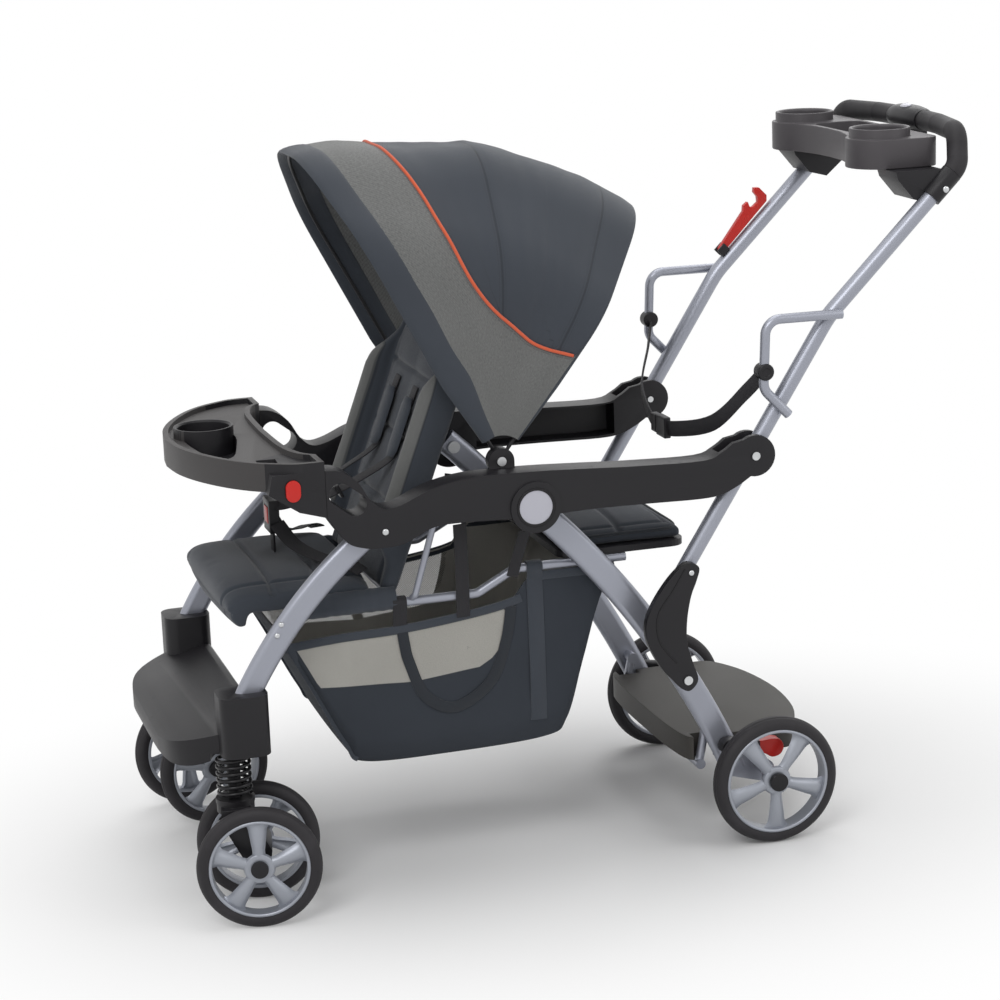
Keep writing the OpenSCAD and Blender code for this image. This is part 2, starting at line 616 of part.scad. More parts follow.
// Link covers between the handle tubes and the rear legs, bowed to the front
link_run = link_low - foot;
link_along = unit(link_run);
link_front = [link_along[1], -link_along[0]];
link_bow = [[-0.09, 0], [-0.07, 13], [0.05, 34], [0.24, 56], [0.42, 69], [0.57, 69], [0.71, 60], [0.88, 42],
    [1.0, 23],
    [1.08, 9], [1.10, -5], [1.0, -17], [0.83, -7], [0.64, 3], [0.43, 4], [0.22, -1], [0.08, -9],
        [-0.04, -13]];
link_boss_r = 13;
module link_cover(sign) color(black_plastic) on_side(sign) difference() {
    union() {
        xz_plate(closed_curve([for (q = link_bow) foot + q[0] * link_run + q[1] * link_front], 5), link_in,
            link_out);
        y_bar(link_low, 2 * link_boss_r, rear_leg_out + side_gap, link_in + 1);
    }
    y_bar(link_low, link_pin_d + 2 * running_gap, rear_leg_out, link_out + 1);
}

// Handle tubes
tube_end = 14;
tube_mouth = 60;
function in_plane(p, y) = [p[0], y, p[1]];
tube_path = [in_plane(foot - tube_end * tube_dir, arm_y), in_plane(tube_bend, arm_y),
    in_plane(tube_top, arm_y)];
module handle_tube(sign) color(silver) on_side(sign) difference() {
    bent_rod(tube_path, tube_d, 150);
    along(tube_path[0], tube_path[1]) translate([0, 0, -1])
        cylinder(h = tube_mouth + 1, d = tube_d - 2 * tube_wall);
    y_bar(knuckle, knuckle_pin_d + 2 * running_gap, tube_in - 1, tube_out + 1);
}

// Handle brackets: sleeves that join the tubes, the handlebar and the parent tray
sleeve_low = 18;
sleeve_high = 32;
sleeve_d = 33;
stub_d = 24;
bracket_in = arm_y - 70;
tray_rear_x = 598;
tray_end_r = parent_tray_l / 2 - cup_y;
tray_front_x = 466;
module handle_brackets() color(black_plastic) {
    for (s = side_signs) on_side(s) handle_bracket();
    latch_saddle();
}
module handle_bracket() difference() {
    union() {
        along(in_plane(tube_top - sleeve_low * tube_upper_dir, arm_y), in_plane(tube_top, arm_y))
            cylinder(h = sleeve_low + sleeve_high, d = sleeve_d);
        xz_plate([[tray_front_x + 44, parent_tray_z - 13], [tray_front_x + 40, parent_tray_z - seat_gap],
            [tube_top[0] + 8, parent_tray_z - seat_gap], tube_top + [18, 2], tube_top + [-10, -22],
                tube_top + [-40, -14]],
            bracket_in, arm_y);
    }
    along(in_plane(tube_top - (sleeve_low + 30) * tube_upper_dir, arm_y), in_plane(tube_top, arm_y))
        cylinder(h = sleeve_low + 30.5, d = tube_d + 0.4);
    along(in_plane(tube_top + 0.4 * tube_upper_dir, arm_y), in_plane(tube_top + tube_upper_dir, arm_y))
        cylinder(h = sleeve_high + 20, d = stub_d + 0.4);
}

// Padded handlebar on stubs that stand in the sleeves
function mirrored(p) = [p[0], -p[1], p[2]];
function on_grip(reach) = in_plane(tube_top + reach * tube_upper_dir, arm_y);
grip_half = [on_grip(sleeve_high + 0.5), on_grip(sleeve_high + 14), [grip_x - 22, arm_y - 23, grip_z - 2],
    [grip_x - 4, 110, grip_z], [grip_x, 58, grip_z]];
grip_path = concat(grip_half, [for (i = [len(grip_half) - 1:-1:0]) mirrored(grip_half[i])]);
module handlebar() color(black_plastic) {
    bent_rod(grip_path, grip_d, 34);
    for (s = side_signs) on_side(s) along(on_grip(1), on_grip(2)) cylinder(h = sleeve_high + 2, d = stub_d);
}

// Fold release in the middle of the handlebar: a pod with tapered ends
module_l = 104;
module_w = 48;
module_h = 42;
module_rings = 8;
module_corners = 20;
trigger_l = 54;
trigger_w = 22;
trigger_h = 16;
trigger_travel = 7;
function pod_ring(v) = let (k = 1 - 0.22 * pow(abs(v),
    3)) [for (i = [0:module_corners - 1]) let (a = -360 * i / module_corners)
    [grip_x + k * module_w / 2 * cos(a), v * module_l / 2, grip_z + k * module_h / 2 * sin(a)]];
module release_module() color(black_plastic) difference() {
    union() {
        skin([for (i = [0:module_rings]) pod_ring(2 * i / module_rings - 1)]);
        translate([grip_x - module_w / 2 + 10, -trigger_l / 2 - 6, grip_z - module_h / 2 - 6])
            cube([module_w - 20, trigger_l + 12, module_h / 2]);
    }
    y_bar([grip_x, grip_z], grip_d + 0.6, -module_l, module_l);
    translate([grip_x - trigger_w / 2 - side_gap, -trigger_l / 2 - side_gap, grip_z - module_h / 2 - 20])
        cube([trigger_w + 2 * side_gap, trigger_l + 2 * side_gap, module_h / 2 + 16]);
}
trigger_top = grip_z - grip_d / 2 - trigger_travel - 1;
module fold_trigger() color(red_plastic)
    translate([grip_x - trigger_w / 2, -trigger_l / 2, trigger_top - trigger_h])
        cube([trigger_w, trigger_l, trigger_h]);

// Parent tray with two cup holders and a shallow bin between them
cup_wall = 7;
cup_rise = 15;
cup_floor_z = parent_tray_z + 4;
cup_deep = parent_tray_z + parent_tray_h + cup_rise - cup_floor_z;
cup_ease = 3;
cup_x = tray_front_x + tray_end_r;
tray_waist = 34;
tray_corner_r = 24;
parent_half = concat([[tray_front_x + tray_waist, 0], [tray_front_x + tray_waist - 2, 44],
    [tray_front_x + tray_waist - 8, 76]],
    arc([cup_x, cup_y], tray_end_r, 228, 90, 14),
    arc([tray_rear_x - tray_corner_r, parent_tray_l / 2 - tray_corner_r], tray_corner_r, 90, 0, 6),
        [[tray_rear_x, 0]]);
bin_depth = 32;
bin_half_l = cup_y - cup_d / 2 - cup_wall - 10;
module rounded_plan(x0, x1, half_l, r) {
    polygon(concat(arc([x1 - r, half_l - r], r, 0, 90, 6), arc([x0 + r, half_l - r], r, 90, 180, 6),
        arc([x0 + r, -half_l + r], r, 180, 270, 6), arc([x1 - r, -half_l + r], r, 270, 360, 6)));
}
// Bore of a cup holder with eased edges at its floor and its rim
module cup_bore(d, deep) rotate_extrude()
    polygon([[0, 0], [d / 2 - cup_ease, 0], [d / 2, cup_ease], [d / 2, deep - cup_ease],
    [d / 2 + cup_ease, deep], [d / 2 + cup_ease, deep + 5], [0, deep + 5]]);
module parent_tray() color(warm_grey) difference() {
    union() {
        for (s = side_signs) on_side(s) translate([0, 0, parent_tray_z]) linear_extrude(parent_tray_h)
            polygon(parent_half);
        for (s = side_signs) translate([cup_x, s * cup_y, cup_floor_z])
            cylinder(h = cup_deep, d = cup_d + 2 * cup_wall);
    }
    for (s = side_signs) translate([cup_x, s * cup_y, cup_floor_z]) cup_bore(cup_d, cup_deep);
    translate([0, 0, parent_tray_z + parent_tray_h - bin_depth]) linear_extrude(bin_depth + 1)
        rounded_plan(tray_front_x + tray_waist + 8, tray_rear_x - 8, bin_half_l, 18);
}

// Grab loops on the outside of the handle tubes
loop_y = tube_out + 1 + loop_d / 2;
function on_tube(z) = [foot_x + (z - foot_z) / tan(tube_slope), z];
loop_top = tube_bend + [14, 6];
loop_foot = on_tube(tube_bend[1] - 137) + [14, -4];
loop_path = [loop_top, loop_top + [-124, 1], loop_foot + [-40, 42], loop_foot];
belt_hold = mix(loop_path[1], loop_path[2], 0.74);
module grab_loops() color(silver) for (s = side_signs) on_side(s)
    bent_tube([for (q = loop_path) in_plane(q, loop_y)], loop_d, tube_wall, 24);

// Waist belt of the rear seat, from loop to loop, with its holders
belt_w = 25;
belt_t = 3;
belt_hold_d = 26;
belt_ends = [belt_hold[0] - 2, loop_y - loop_d / 2 - 8.5 - seat_gap, belt_hold[1] - 6];
belt_half = open_curve([belt_ends, belt_ends + [-2, -12, -4], belt_ends + [-16, -32, -32],
    belt_ends + [-46, -80, -84],
    [belt_ends[0] - 70, 60, belt_ends[2] - 112], [belt_ends[0] - 74, 0, belt_ends[2] - 116]], 4);
module rear_belt() color(black_plastic) {
    skin(frame_rings(concat(belt_half, [for (i = [len(belt_half) - 2:-1:0]) mirrored(belt_half[i])]),
        strap_section(belt_w, belt_t), [0, 0, 1]));
    for (s = side_signs) on_side(s) difference() {
        y_bar(belt_hold, belt_hold_d, loop_y - loop_d / 2 - 11, loop_y + loop_d / 2 + 3);
        along(in_plane(loop_path[2], loop_y), in_plane(loop_path[1], loop_y))
            cylinder(h = 100, d = loop_d + 0.8);
    }
}

// Fold latch: a hook hinged on the front of the right-hand handle tube
latch_reach = 36;
latch_l = 118;
latch_t = 10;
latch_pivot = tube_bend + latch_reach * tube_upper_dir + (tube_d / 2 + 8) * [-tube_upper_dir[1],
    tube_upper_dir[0]];
latch_along = tube_upper_dir;
latch_up = [-tube_upper_dir[1], tube_upper_dir[0]];
latch_pin_d = 5;
latch_shape = concat(arc([0, 0], 5.4, 290, 100, 8),
    [[latch_l * 0.60, 16], [latch_l * 0.66, 22], [latch_l * 0.74, 21],
    [latch_l * 0.71, 13], [latch_l * 0.74, 8], [latch_l * 0.84, 7], [latch_l * 0.89, 14],
        [latch_l * 0.9, 24],
    [latch_l * 0.95, 29], [latch_l, 23], [latch_l, 4], [latch_l * 0.94, -3]]);
module fold_latch() color(red_plastic) difference() {
    xz_plate([for (q = latch_shape) latch_pivot + q[0] * latch_along + q[1] * latch_up],
        arm_y - latch_t / 2, arm_y + latch_t / 2);
    y_bar(latch_pivot, latch_pin_d + 2 * running_gap, arm_y - latch_t, arm_y + latch_t);
}
// Saddle of the latch on its tube: a base, two cheeks and the pin
saddle_low = -8 + seat_gap;
module latch_block(x0, x1, z0, z1, y0, y1) {
    xz_plate([for (q = [[x0, z0], [x1, z0], [x1, z1], [x0, z1]]) latch_pivot + q[0] * latch_along + q[1]
        * latch_up], arm_y + y0, arm_y + y1);
}
module latch_saddle() {
    latch_block(-8, 9, saddle_low, saddle_low + 1.8, -latch_t / 2 - 4, latch_t / 2 + 4);
    for (s = side_signs) {
        y0 = s > 0 ? latch_t / 2 + side_gap : -latch_t / 2 - 4;
        latch_block(-8, 9, saddle_low, 6, y0, y0 + 4 - side_gap);
    }
    y_bar(latch_pivot, latch_pin_d, arm_y - latch_t / 2 - 2, arm_y + latch_t / 2 + 2);
}

// Rear axle, its caps and the brake levers
module rear_axle() color(steel)
    y_bar(rear_axle, rear_axle_d, -rear_wheel_y - rear_tyre_w / 2 - 3, rear_wheel_y + rear_tyre_w / 2 + 3);
cap_t = 6;
module axle_caps() color(black_plastic) for (s = side_signs) on_side(s) difference() {
    y_bar(rear_axle, hub_boss_d - 5, rear_wheel_y + rear_tyre_w / 2 - web_drop + side_gap,
        rear_wheel_y + rear_tyre_w / 2 - web_drop + side_gap + cap_t + 3);
    y_bar(rear_axle, rear_axle_d + 0.2, 0, rear_wheel_y + rear_tyre_w / 2 + 3.2);
}
brake_shape = [[-12, -5], [-7, 10], [12, 12], [38, 6], [58, 4], [72, 5], [86, 2], [92, -10], [86, -22],
    [72, -25], [60, -18],
    [38, -10], [14, -11], [0, -13]];
module brake_lever(sign) color(red_plastic) on_side(sign) difference() {
    xz_plate(closed_curve([for (q = brake_shape) brake_pivot + q], 3), lever_in, lever_out);
    y_bar(brake_pivot, brake_pin_d + 2 * running_gap, lever_in - 1, lever_out + 1);
}

// Standing board between the rear legs, and the bent tube that carries its front
board_front_x = 160;
board_half_w = rear_leg_in - 3;
board_low_z = board_z - board_t;
brace_d = 16;
brace_y = rear_leg_in - 12;
brace_z = board_low_z - seat_gap - brace_d / 2;
brace_x = board_front_x + 30;
board_wall = 4;
board_plan = closed_curve([[board_front_x, 0], [board_front_x + 2, board_half_w * 0.6],
    [board_front_x + 12, board_half_w - 6],
    [board_front_x + 40, board_half_w], [rear_axle_x - 20, board_half_w], [rear_axle_x + 40, board_half_w],
        [board_x - 40, board_half_w - 16],
    [board_x - 12, board_half_w * 0.55], [board_x, 0], [board_x - 12, -board_half_w * 0.55],
        [board_x - 40, -board_half_w + 16],
    [rear_axle_x + 40, -board_half_w], [rear_axle_x - 20, -board_half_w],
        [board_front_x + 40, -board_half_w],
    [board_front_x + 12, -board_half_w + 6], [board_front_x + 2, -board_half_w * 0.6]], 4);
module rear_platform() color(warm_grey) difference() {
    translate([0, 0, board_low_z]) linear_extrude(board_t) polygon(board_plan);
    translate([brace_x + 14, -board_half_w + 14, board_low_z - 1])
        cube([rear_axle_x - brace_x - 34, 2 * board_half_w - 28, board_t - board_wall + 1]);
    translate([rear_axle_x + 20, -board_half_w + 40, board_low_z - 1])
        cube([board_x - rear_axle_x - 70, 2 * board_half_w - 80, board_t - board_wall + 1]);
    y_bar(rear_axle, rear_axle_d + 18, -300, 300);
    for (s = side_signs) on_side(s) translate([brace_x - brace_d / 2 - 3, brace_y - brace_d / 2 - 3,
        board_low_z - 1])
        cube([brace_point[0] - brace_x + brace_d + 6, 100, board_t + 2]);
}
module platform_tube() color(silver) {
    y_bar([brace_x, brace_z], brace_d, -brace_y - brace_d / 2 - 1, brace_y + brace_d / 2 + 1);
    for (s = side_signs) on_side(s) {
        along([brace_x, brace_y, brace_z], in_plane(brace_point, brace_y))
            cylinder(h = norm(brace_point - [brace_x, brace_z]), d = brace_d - 2);
        y_bar(brace_point, brace_d + 2, brace_y - brace_d / 2 - 2, rear_leg_in - side_gap);
    }
}

// Footrest moulding with the two spring housings
housing_l = 74;
housing_w = 68;
housing_top_z = housing_z + 92;
housing_mid_x = caster_x + 18;
foot_nose_x = caster_x - 96;
foot_profile = closed_curve([[housing_mid_x + 30, housing_z + 12], [housing_mid_x + 30, housing_z + 44],
    [housing_mid_x - 20, housing_z + 34], [foot_nose_x + 20, housing_z + 14], [foot_nose_x, housing_z - 4],
    [foot_nose_x + 8, housing_z - 22], [foot_nose_x + 40, housing_z - 20],
        [housing_mid_x - 30, housing_z - 4]], 4);
foot_plan = closed_curve([[foot_nose_x, 0], [foot_nose_x + 4, caster_y * 0.5],
    [foot_nose_x + 24, caster_y * 0.82],
    [housing_mid_x - 30, caster_y], [housing_mid_x + 30, caster_y], [housing_mid_x + 34, 0],
    [housing_mid_x + 30, -caster_y], [housing_mid_x - 30, -caster_y], [foot_nose_x + 24, -caster_y * 0.82],
    [foot_nose_x + 4, -caster_y * 0.5]], 5);
module front_footrest() color(black_plastic) difference() {
    union() {
        intersection() {
            xz_plate(foot_profile, -caster_y, caster_y);
            translate([0, 0, housing_z - 60]) linear_extrude(160) polygon(foot_plan);
        }
        for (s = side_signs) translate([0, s * caster_y, housing_z])
            linear_extrude(housing_top_z - housing_z)
            rounded_plan(housing_mid_x - housing_l / 2, housing_mid_x + housing_l / 2, housing_w / 2, 20);
    }
    for (s = side_signs) {
        translate([caster_x, s * caster_y, housing_z - 1])
            cylinder(h = stem_top_z - housing_z + suspension_travel + 3, d = stem_d + 2 * running_gap);
        translate([caster_x, s * caster_y, housing_z - 60]) cylinder(h = 60, d = spring_d + 12);
        on_side(s) front_leg_bar(leg_w + 2 * side_gap, leg_t + 2 * side_gap, 0.4);
    }
}

// Seat rails, their cross tubes and the struts up to the side arms
rail_rear_x = 76;
rail_step_x = hub_x - 12;
rail_high_z = rail_z + 32;
rail_nose_x = -466;
rail_front = [rail_nose_x, caster_y - leg_t / 2 - seat_gap, rail_z - 4];
strut_top = [hub_x - 140, arm_in - 8, hub_z - 12];
strut_low = [hub_x - 172, rail_y + 10, rail_z + 12];
module seat_rails() color(silver) {
    for (s = side_signs) on_side(s) {
        bent_rod([rail_front, rail_front - [0, 13, 0], [rail_nose_x + 22, rail_y, rail_z],
            [rail_step_x - 60, rail_y, rail_z],
            [rail_step_x, rail_y, rail_high_z], [rail_rear_x, rail_y, rail_high_z]], rail_d, 20);
        bent_rod([strut_top + [0, 7.7, 0], strut_top, strut_low, strut_low + [-4, -6, -6]], 10, 5.5);
    }
    for (q = [[seat_front_x + 165, rail_z], [seat_hinge_x, rail_z], [rail_rear_x - 20, rail_high_z]])
        y_bar(q, rail_d - 0.6, -rail_y, rail_y);
}

// Front seat: cushion with a calf panel, and a reclining back with side wings
seat_rear_x = seat_hinge_x - seat_back_t - 6;
cushion_low_z = rail_z + rail_d / 2 + seat_gap;
calf_l = 24;
function cushion_ring(v) = let (c = 1 - pow(v, 4), low = cushion_low_z,
    top = low + seat_t * (0.6 + 0.4 * c),
    x0 = seat_front_x + 6 * (1 - c), x1 = seat_rear_x, dip = seat_channel * (1 - pow(v, 8)))
    [for (q = concat(
        open_curve([[x0 + 20, low - calf_l], [x0 + 12, low - calf_l * 0.5], [x0, low + 8],
            [x0 + 8, top - 12], [x0 + 30, top - 4],
            [x0 + 72, top], [x0 + 84, top - dip], [x0 + 96, top], [x1 - 92, top], [x1 - 80, top - dip],
                [x1 - 68, top], [x1 - 12, top - 3]], 2),
        [[x1, top - 12], [x1, low], [x0 + 34, low], [x0 + 33, low - calf_l * 0.5],
            [x0 + 30, low - calf_l]])) [q[0], v, q[1]]];
seat_channel = 6;
cushion_rings = 14;
module seat_cushion() color(slate)
    skin([for (i = [0:cushion_rings]) let (v = 2 * i / cushion_rings - 1, y = v * seat_half_w)
        [for (q = cushion_ring(v)) [q[0], y, q[2]]]], corner = len(cushion_ring(0)) - 3);
back_start = rail_d / 2 + seat_gap;
wing_w = 26;
wing_depth = 66;
wing_low = 60;
wing_high = 340;
back_rings = 20;
// Half of the back's section at a height along it: wings stand forward of the pad at mid height
function back_ring(h) = let (
    t = h / seat_back_l,
    rise = clamp01((h - wing_low + 30) / 60) * clamp01((wing_high + 40 - h) / 80),
    wing = seat_back_t + (wing_depth - seat_back_t) * rise * (3 - 2 * rise) * rise,
    w = (seat_half_w - 2) * (1 - 0.10 * pow(clamp01((t - 0.7) / 0.3), 2)),
    pad = seat_back_t - 5 * sumv([for (c = [0.3, 0.55, 0.8]) exp(-pow((t - c) / 0.025, 2))]),
    half = open_curve([[-4, w - 10], [-10, w], [-wing + 8, w], [-wing, w - 9], [-wing + 5, w - wing_w + 4],
        [-pad + 4, w - wing_w - 8], [-pad, w - wing_w - 40], [-pad - 3, w * 0.3], [-pad, 0]], 2))
    concat(half, [for (i = [len(half) - 2:-1:0]) [half[i][0], -half[i][1]]]);
module in_back() {
    translate([seat_hinge_x, 0, rail_z]) rotate([0, seat_slant, 0]) children();
}
module seat_back() color(slate) in_back()
    skin([for (i = [0:back_rings]) let (h = seat_back_l * i / back_rings)
        [for (q = reversed(back_ring(h))) [q[0], q[1], back_start + h]]]);

// Shoulder straps of the front harness, on the seat back
strap_y = 52;
strap_w = 25;
module harness() color(black_plastic) in_back() for (s = side_signs)
    translate([-seat_back_t - 3 - seat_gap - 3, s * strap_y - strap_w / 2, back_start + 60])
        cube([3, strap_w, 240]);

// Crotch strap with its buckle and button
buckle_x = seat_front_x + 118;
buckle_low_z = cushion_low_z + seat_t + 34;
buckle_size = [16, 46, 52];
buckle_key = [4, 22, 26];
module buckle() color(black_plastic) difference() {
    translate([buckle_x, 0, 0]) union() {
        translate([-1.5, -strap_w / 2, cushion_low_z + seat_t + 1.5])
            cube([3, strap_w, buckle_low_z - cushion_low_z - seat_t]);
        translate([-buckle_size[0] / 2, -buckle_size[1] / 2, buckle_low_z]) cube(buckle_size);
    }
    translate([buckle_x - buckle_size[0] / 2 - 1, -buckle_key[1] / 2 - seat_gap,
        buckle_low_z + 14 - seat_gap])
        cube([buckle_key[0] + 5, buckle_key[1] + 2 * seat_gap, buckle_key[2] + 2 * seat_gap]);
}
button_press = 3;
module buckle_button() color(red_plastic)
    translate([buckle_x - buckle_size[0] / 2 - 1, -buckle_key[1] / 2, buckle_low_z + 14])
        cube([buckle_key[0] + 0.8 - button_press + 2, buckle_key[1], buckle_key[2]]);

// Rear bench
bench_x = -30;
bench_low_z = rail_high_z + rail_d / 2 + seat_gap;
bench_base_t = 10;
module bench_base() color(black_plastic)
    translate([0, 0, bench_low_z]) linear_extrude(bench_base_t)
        rounded_plan(bench_x, bench_x + bench_l, seat_half_w + 6, 24);
module bench_pad() color(slate) translate([bench_x + bench_l / 2, 0, bench_low_z + bench_base_t + seat_gap])
    pillow(bench_l - 4, 2 * seat_half_w, bench_pad_t * 0.55, bench_pad_t * 0.45, 5, [0], 4, 16, 12);

// Basket: an open cloth tub under the seat rails
basket_top_z = rail_z - rail_d / 2 - seat_gap;
basket_high_z = rail_high_z - rail_d / 2 - seat_gap;
basket_wall = 4;
basket_side = [[-462, basket_top_z - 24], [-372, basket_z + 20], [-346, basket_z], [-220, basket_z - 2],
    [-56, basket_z + 6],
    [-22, basket_z + 30], [26, rail_z - 60], [56, basket_high_z]];
basket_rim = [[rail_step_x + 18, basket_high_z], [rail_step_x - 76, basket_top_z - 8],
    [-430, basket_top_z - 20]];
function inset_x(p, low) = [for (q = p) [q[0] + (q[0] < low ? basket_wall : -basket_wall),
    q[1] + basket_wall]];
module basket() color(slate) difference() {
    xz_plate(concat(basket_side, basket_rim), -basket_half_w, basket_half_w);
    xz_plate(concat(inset_x(basket_side, -200), [[56 - basket_wall, 600], [-462 + basket_wall, 600]]),
        -basket_half_w + basket_wall, basket_half_w - basket_wall);
}

// Canopy: bows hinged on the side arms under one curved cloth
canopy_base_r = 40;
canopy_steps = 12;
canopy_sag = 9;
canopy_mid_a = 86;
front_shoulder = 0.74;
rear_shoulder = 0.60;
arch_top = 0.42;
arch_bend = 140;
function canopy_r(a) = let (m = canopy_mid_a,
    t = a > m ? (a - m) / (canopy_front_a - m) : (m - a) / (m - canopy_rear_a))
    a > m ? mix(canopy_mid_r, canopy_front_r, pow(t, 1.6)) - canopy_sag * sin(180 * clamp01(t * 1.25))
        : mix(canopy_mid_r, canopy_rear_r, t) - canopy_sag * sin(180 * t);
function shoulder(a) = mix(rear_shoulder, front_shoulder,
    clamp01((a - canopy_rear_a) / (canopy_front_a - canopy_rear_a)));
// Corners of an arch in its own plane: across, and outward from the hinge
function arch_corners(r, half_w, base_r, part) = [[-half_w, base_r], [-half_w, part * r],
    [-arch_top * half_w, r],
    [arch_top * half_w, r], [half_w, part * r], [half_w, base_r]];
function turned(a, q) = [canopy_x + q[1] * cos(a), q[0], canopy_z + q[1] * sin(a)];
// Points of a path whose corners are rounded
function rounded_path(p, r, n) = [for (i = [0:len(p) - 1]) each (i == 0 || i == len(p) - 1) ? [p[i]]
    : let (w0 = unit(p[i] - p[i - 1]), w1 = unit(p[i + 1] - p[i]), half = acos(w0 * w1) / 2,
        c = p[i] + unit(w1 - w0) * r / cos(half),
        e = -unit(w1 - w0), f = unit(w1 + w0))
        [for (j = [-n:n]) c + r * (cos(half * j / n) * e + sin(half * j / n) * f)]];
module canopy_fabric() color(slate)
    skin([for (i = [0:canopy_steps]) let (a = i == 0 ? canopy_rear_a - 2 : i == canopy_steps
        ? canopy_front_a + 2
            : mix(canopy_rear_a, canopy_front_a, (i - 1) / (canopy_steps - 2)),
        r = canopy_r(max(canopy_rear_a, min(canopy_front_a, a))), k = shoulder(a))
        [for (q = concat(rounded_path(arch_corners(r, canopy_half_w, canopy_base_r, k), arch_bend, 3),
            reversed(rounded_path(arch_corners(r - cloth_t, canopy_half_w - cloth_t, canopy_base_r, k),
                arch_bend - cloth_t, 3)))) turned(a, q)]], true);
bow_d = 5.6;
rear_bow_gap = 0.8;
front_bow_gap = 1.6;
module bow(a, r, plane_y) {
    bent_rod([for (q = arch_corners(r, plane_y, 8, shoulder(a))) turned(a, q)], bow_d,
        arch_bend - bow_inset);
    for (s = side_signs) on_side(s) y_bar(canopy_pivot, 2 * lug_r, plane_y - bow_disc_t / 2,
        plane_y + bow_disc_t / 2);
}
rear_bow_y = lug_y - seat_gap - bow_disc_t / 2;
front_bow_y = rear_bow_y - bow_disc_t - seat_gap;
bow_inset = cloth_t + bow_d / 2;
module bow_bores() {
    y_bar(canopy_pivot, canopy_pin_d + 2 * running_gap, -300, 300);
}
module canopy_rear_bow() color(black_plastic) difference() {
    bow(canopy_rear_a, canopy_rear_r - bow_inset - rear_bow_gap, rear_bow_y);
    bow_bores();
}
module canopy_front_bow() color(black_plastic) difference() {
    bow(canopy_front_a, canopy_front_r - bow_inset - front_bow_gap, front_bow_y);
    bow_bores();
}

// Child tray with its side blocks and release buttons
tray_low_z = tray_z - tray_h;
seam_x = hub_x - arm_seam - side_gap;
tray_half = [[tray_x, 0], [tray_x + 7, 62], [tray_x + 26, 122], [tray_x + 58, 182], [tray_x + 94, 224],
    [tray_x + 136, arm_out - 6], [seam_x - 30, arm_out], [seam_x, arm_out]];
tray_inner = [[seam_x, arm_in - 10], [seam_x - 18, arm_in - 34], [seam_x - 30, 120], [seam_x - 34, 0]];
tray_plan = concat(open_curve(tray_half, 4), open_curve(tray_inner, 4));
function flipped(p) = [for (q = reversed(p)) [q[0], -q[1]]];
tray_rim = 9;
tray_dish = 8;
tray_cup = [tray_x + 66, 36];
tray_cup_wall = 6;
tray_cup_deep = tray_h + 2;
tray_basin = [[38, 112], [30, 40], [34, -40], [44, -104], [58, -140], [80, -128], [98, -60], [110, 10],
    [104, 84], [74, 122]];
tray_slot = [[102, -216], [130, -214], [133, -172], [104, -170]];
tray_block_z = hub_z + 17;
button_at = [seam_x - 48, hub_z + 62];
button_l = 14;
button_proud = 3;
button_travel = 4;
module button_shape(grow) {
    rotate([0, 0, 90]) oval(button_h + 2 * grow, button_w + 2 * grow);
}
module tray_outline(inset) {
    intersection() {
        polygon(concat(tray_plan, flipped(tray_plan)));
        translate([inset, 0]) polygon(concat(tray_plan, flipped(tray_plan)));
        translate([0, inset]) polygon(concat(tray_plan, flipped(tray_plan)));
        translate([0, -inset]) polygon(concat(tray_plan, flipped(tray_plan)));
        translate([-inset, 0]) polygon(concat(tray_plan, flipped(tray_plan)));
    }
}
module child_tray() color(black_plastic) difference() {
    union() {
        translate([0, 0, tray_low_z]) linear_extrude(tray_h) polygon(concat(tray_plan, flipped(tray_plan)));
        translate([tray_cup[0], tray_cup[1], tray_low_z + 6])
            cylinder(h = tray_cup_deep, d = tray_cup_d + 2 * tray_cup_wall);
        for (s = side_signs) on_side(s)
            xz_plate([[seam_x, tray_block_z], [seam_x, tray_z - 12], [seam_x - 78, tray_z - 14],
                [seam_x - 84, tray_low_z],
                [seam_x - 40, tray_block_z + 12]], arm_in + 6, arm_out);
    }
    difference() {
        union() {
            translate([0, 0, tray_z - tray_dish]) linear_extrude(tray_dish + 1) tray_outline(tray_rim);
            translate([tray_x, 0, tray_low_z + 8]) linear_extrude(tray_h)
                polygon(closed_curve(tray_basin, 3));
            translate([tray_x, 0, tray_z - tray_dish - 5]) linear_extrude(tray_h) polygon(tray_slot);
        }
        translate([tray_cup[0], tray_cup[1], tray_low_z])
            cylinder(h = tray_cup_deep + 6, d = tray_cup_d + 2 * tray_cup_wall);
    }
    translate([tray_cup[0], tray_cup[1], tray_low_z + 6]) cup_bore(tray_cup_d, tray_cup_deep);
    for (s = side_signs) on_side(s) translate([button_at[0], arm_out + 1, button_at[1]]) rotate([90, 0, 0])
        linear_extrude(button_l + button_travel + 2 - button_proud + 1) button_shape(seat_gap);
}
module tray_button(sign) color(red_plastic) on_side(sign)
    translate([button_at[0], arm_out + button_proud, button_at[1]]) rotate([90, 0, 0])
        linear_extrude(button_l) button_shape(0);

// Assembly
for (i = [0, 1]) {
    s = side_signs[i];
    n = side_names[i];
    side_arm(s);
    front_leg(s);
    spring(s);
    tray_button(s);
    handle_tube(s);
    rear_leg(s);
    brake_lever(s);
    rear_rim(s);
    rear_tyre(s);
    link_cover(s);
    suspension_stem(s);
    caster_fork(s);
    front_rim(s, 1);
    front_rim(s, -1);
    front_tyre(s, 1);
    front_tyre(s, -1);
}
front_footrest();
seat_rails();
bench_base();
bench_pad();
seat_cushion();
basket();
frame_pins();
harness();
buckle();
buckle_button();
seat_back();
canopy_rear_bow();
canopy_front_bow();
canopy_fabric();
child_tray();
handle_brackets();
handlebar();
release_module();
fold_trigger();
parent_tray();
grab_loops();
rear_belt();
fold_latch();
rear_axle();
rear_platform();
platform_tube();
axle_caps();
leg_pins();
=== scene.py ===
import math

import bmesh
import bpy
from mathutils import Matrix, Vector, noise


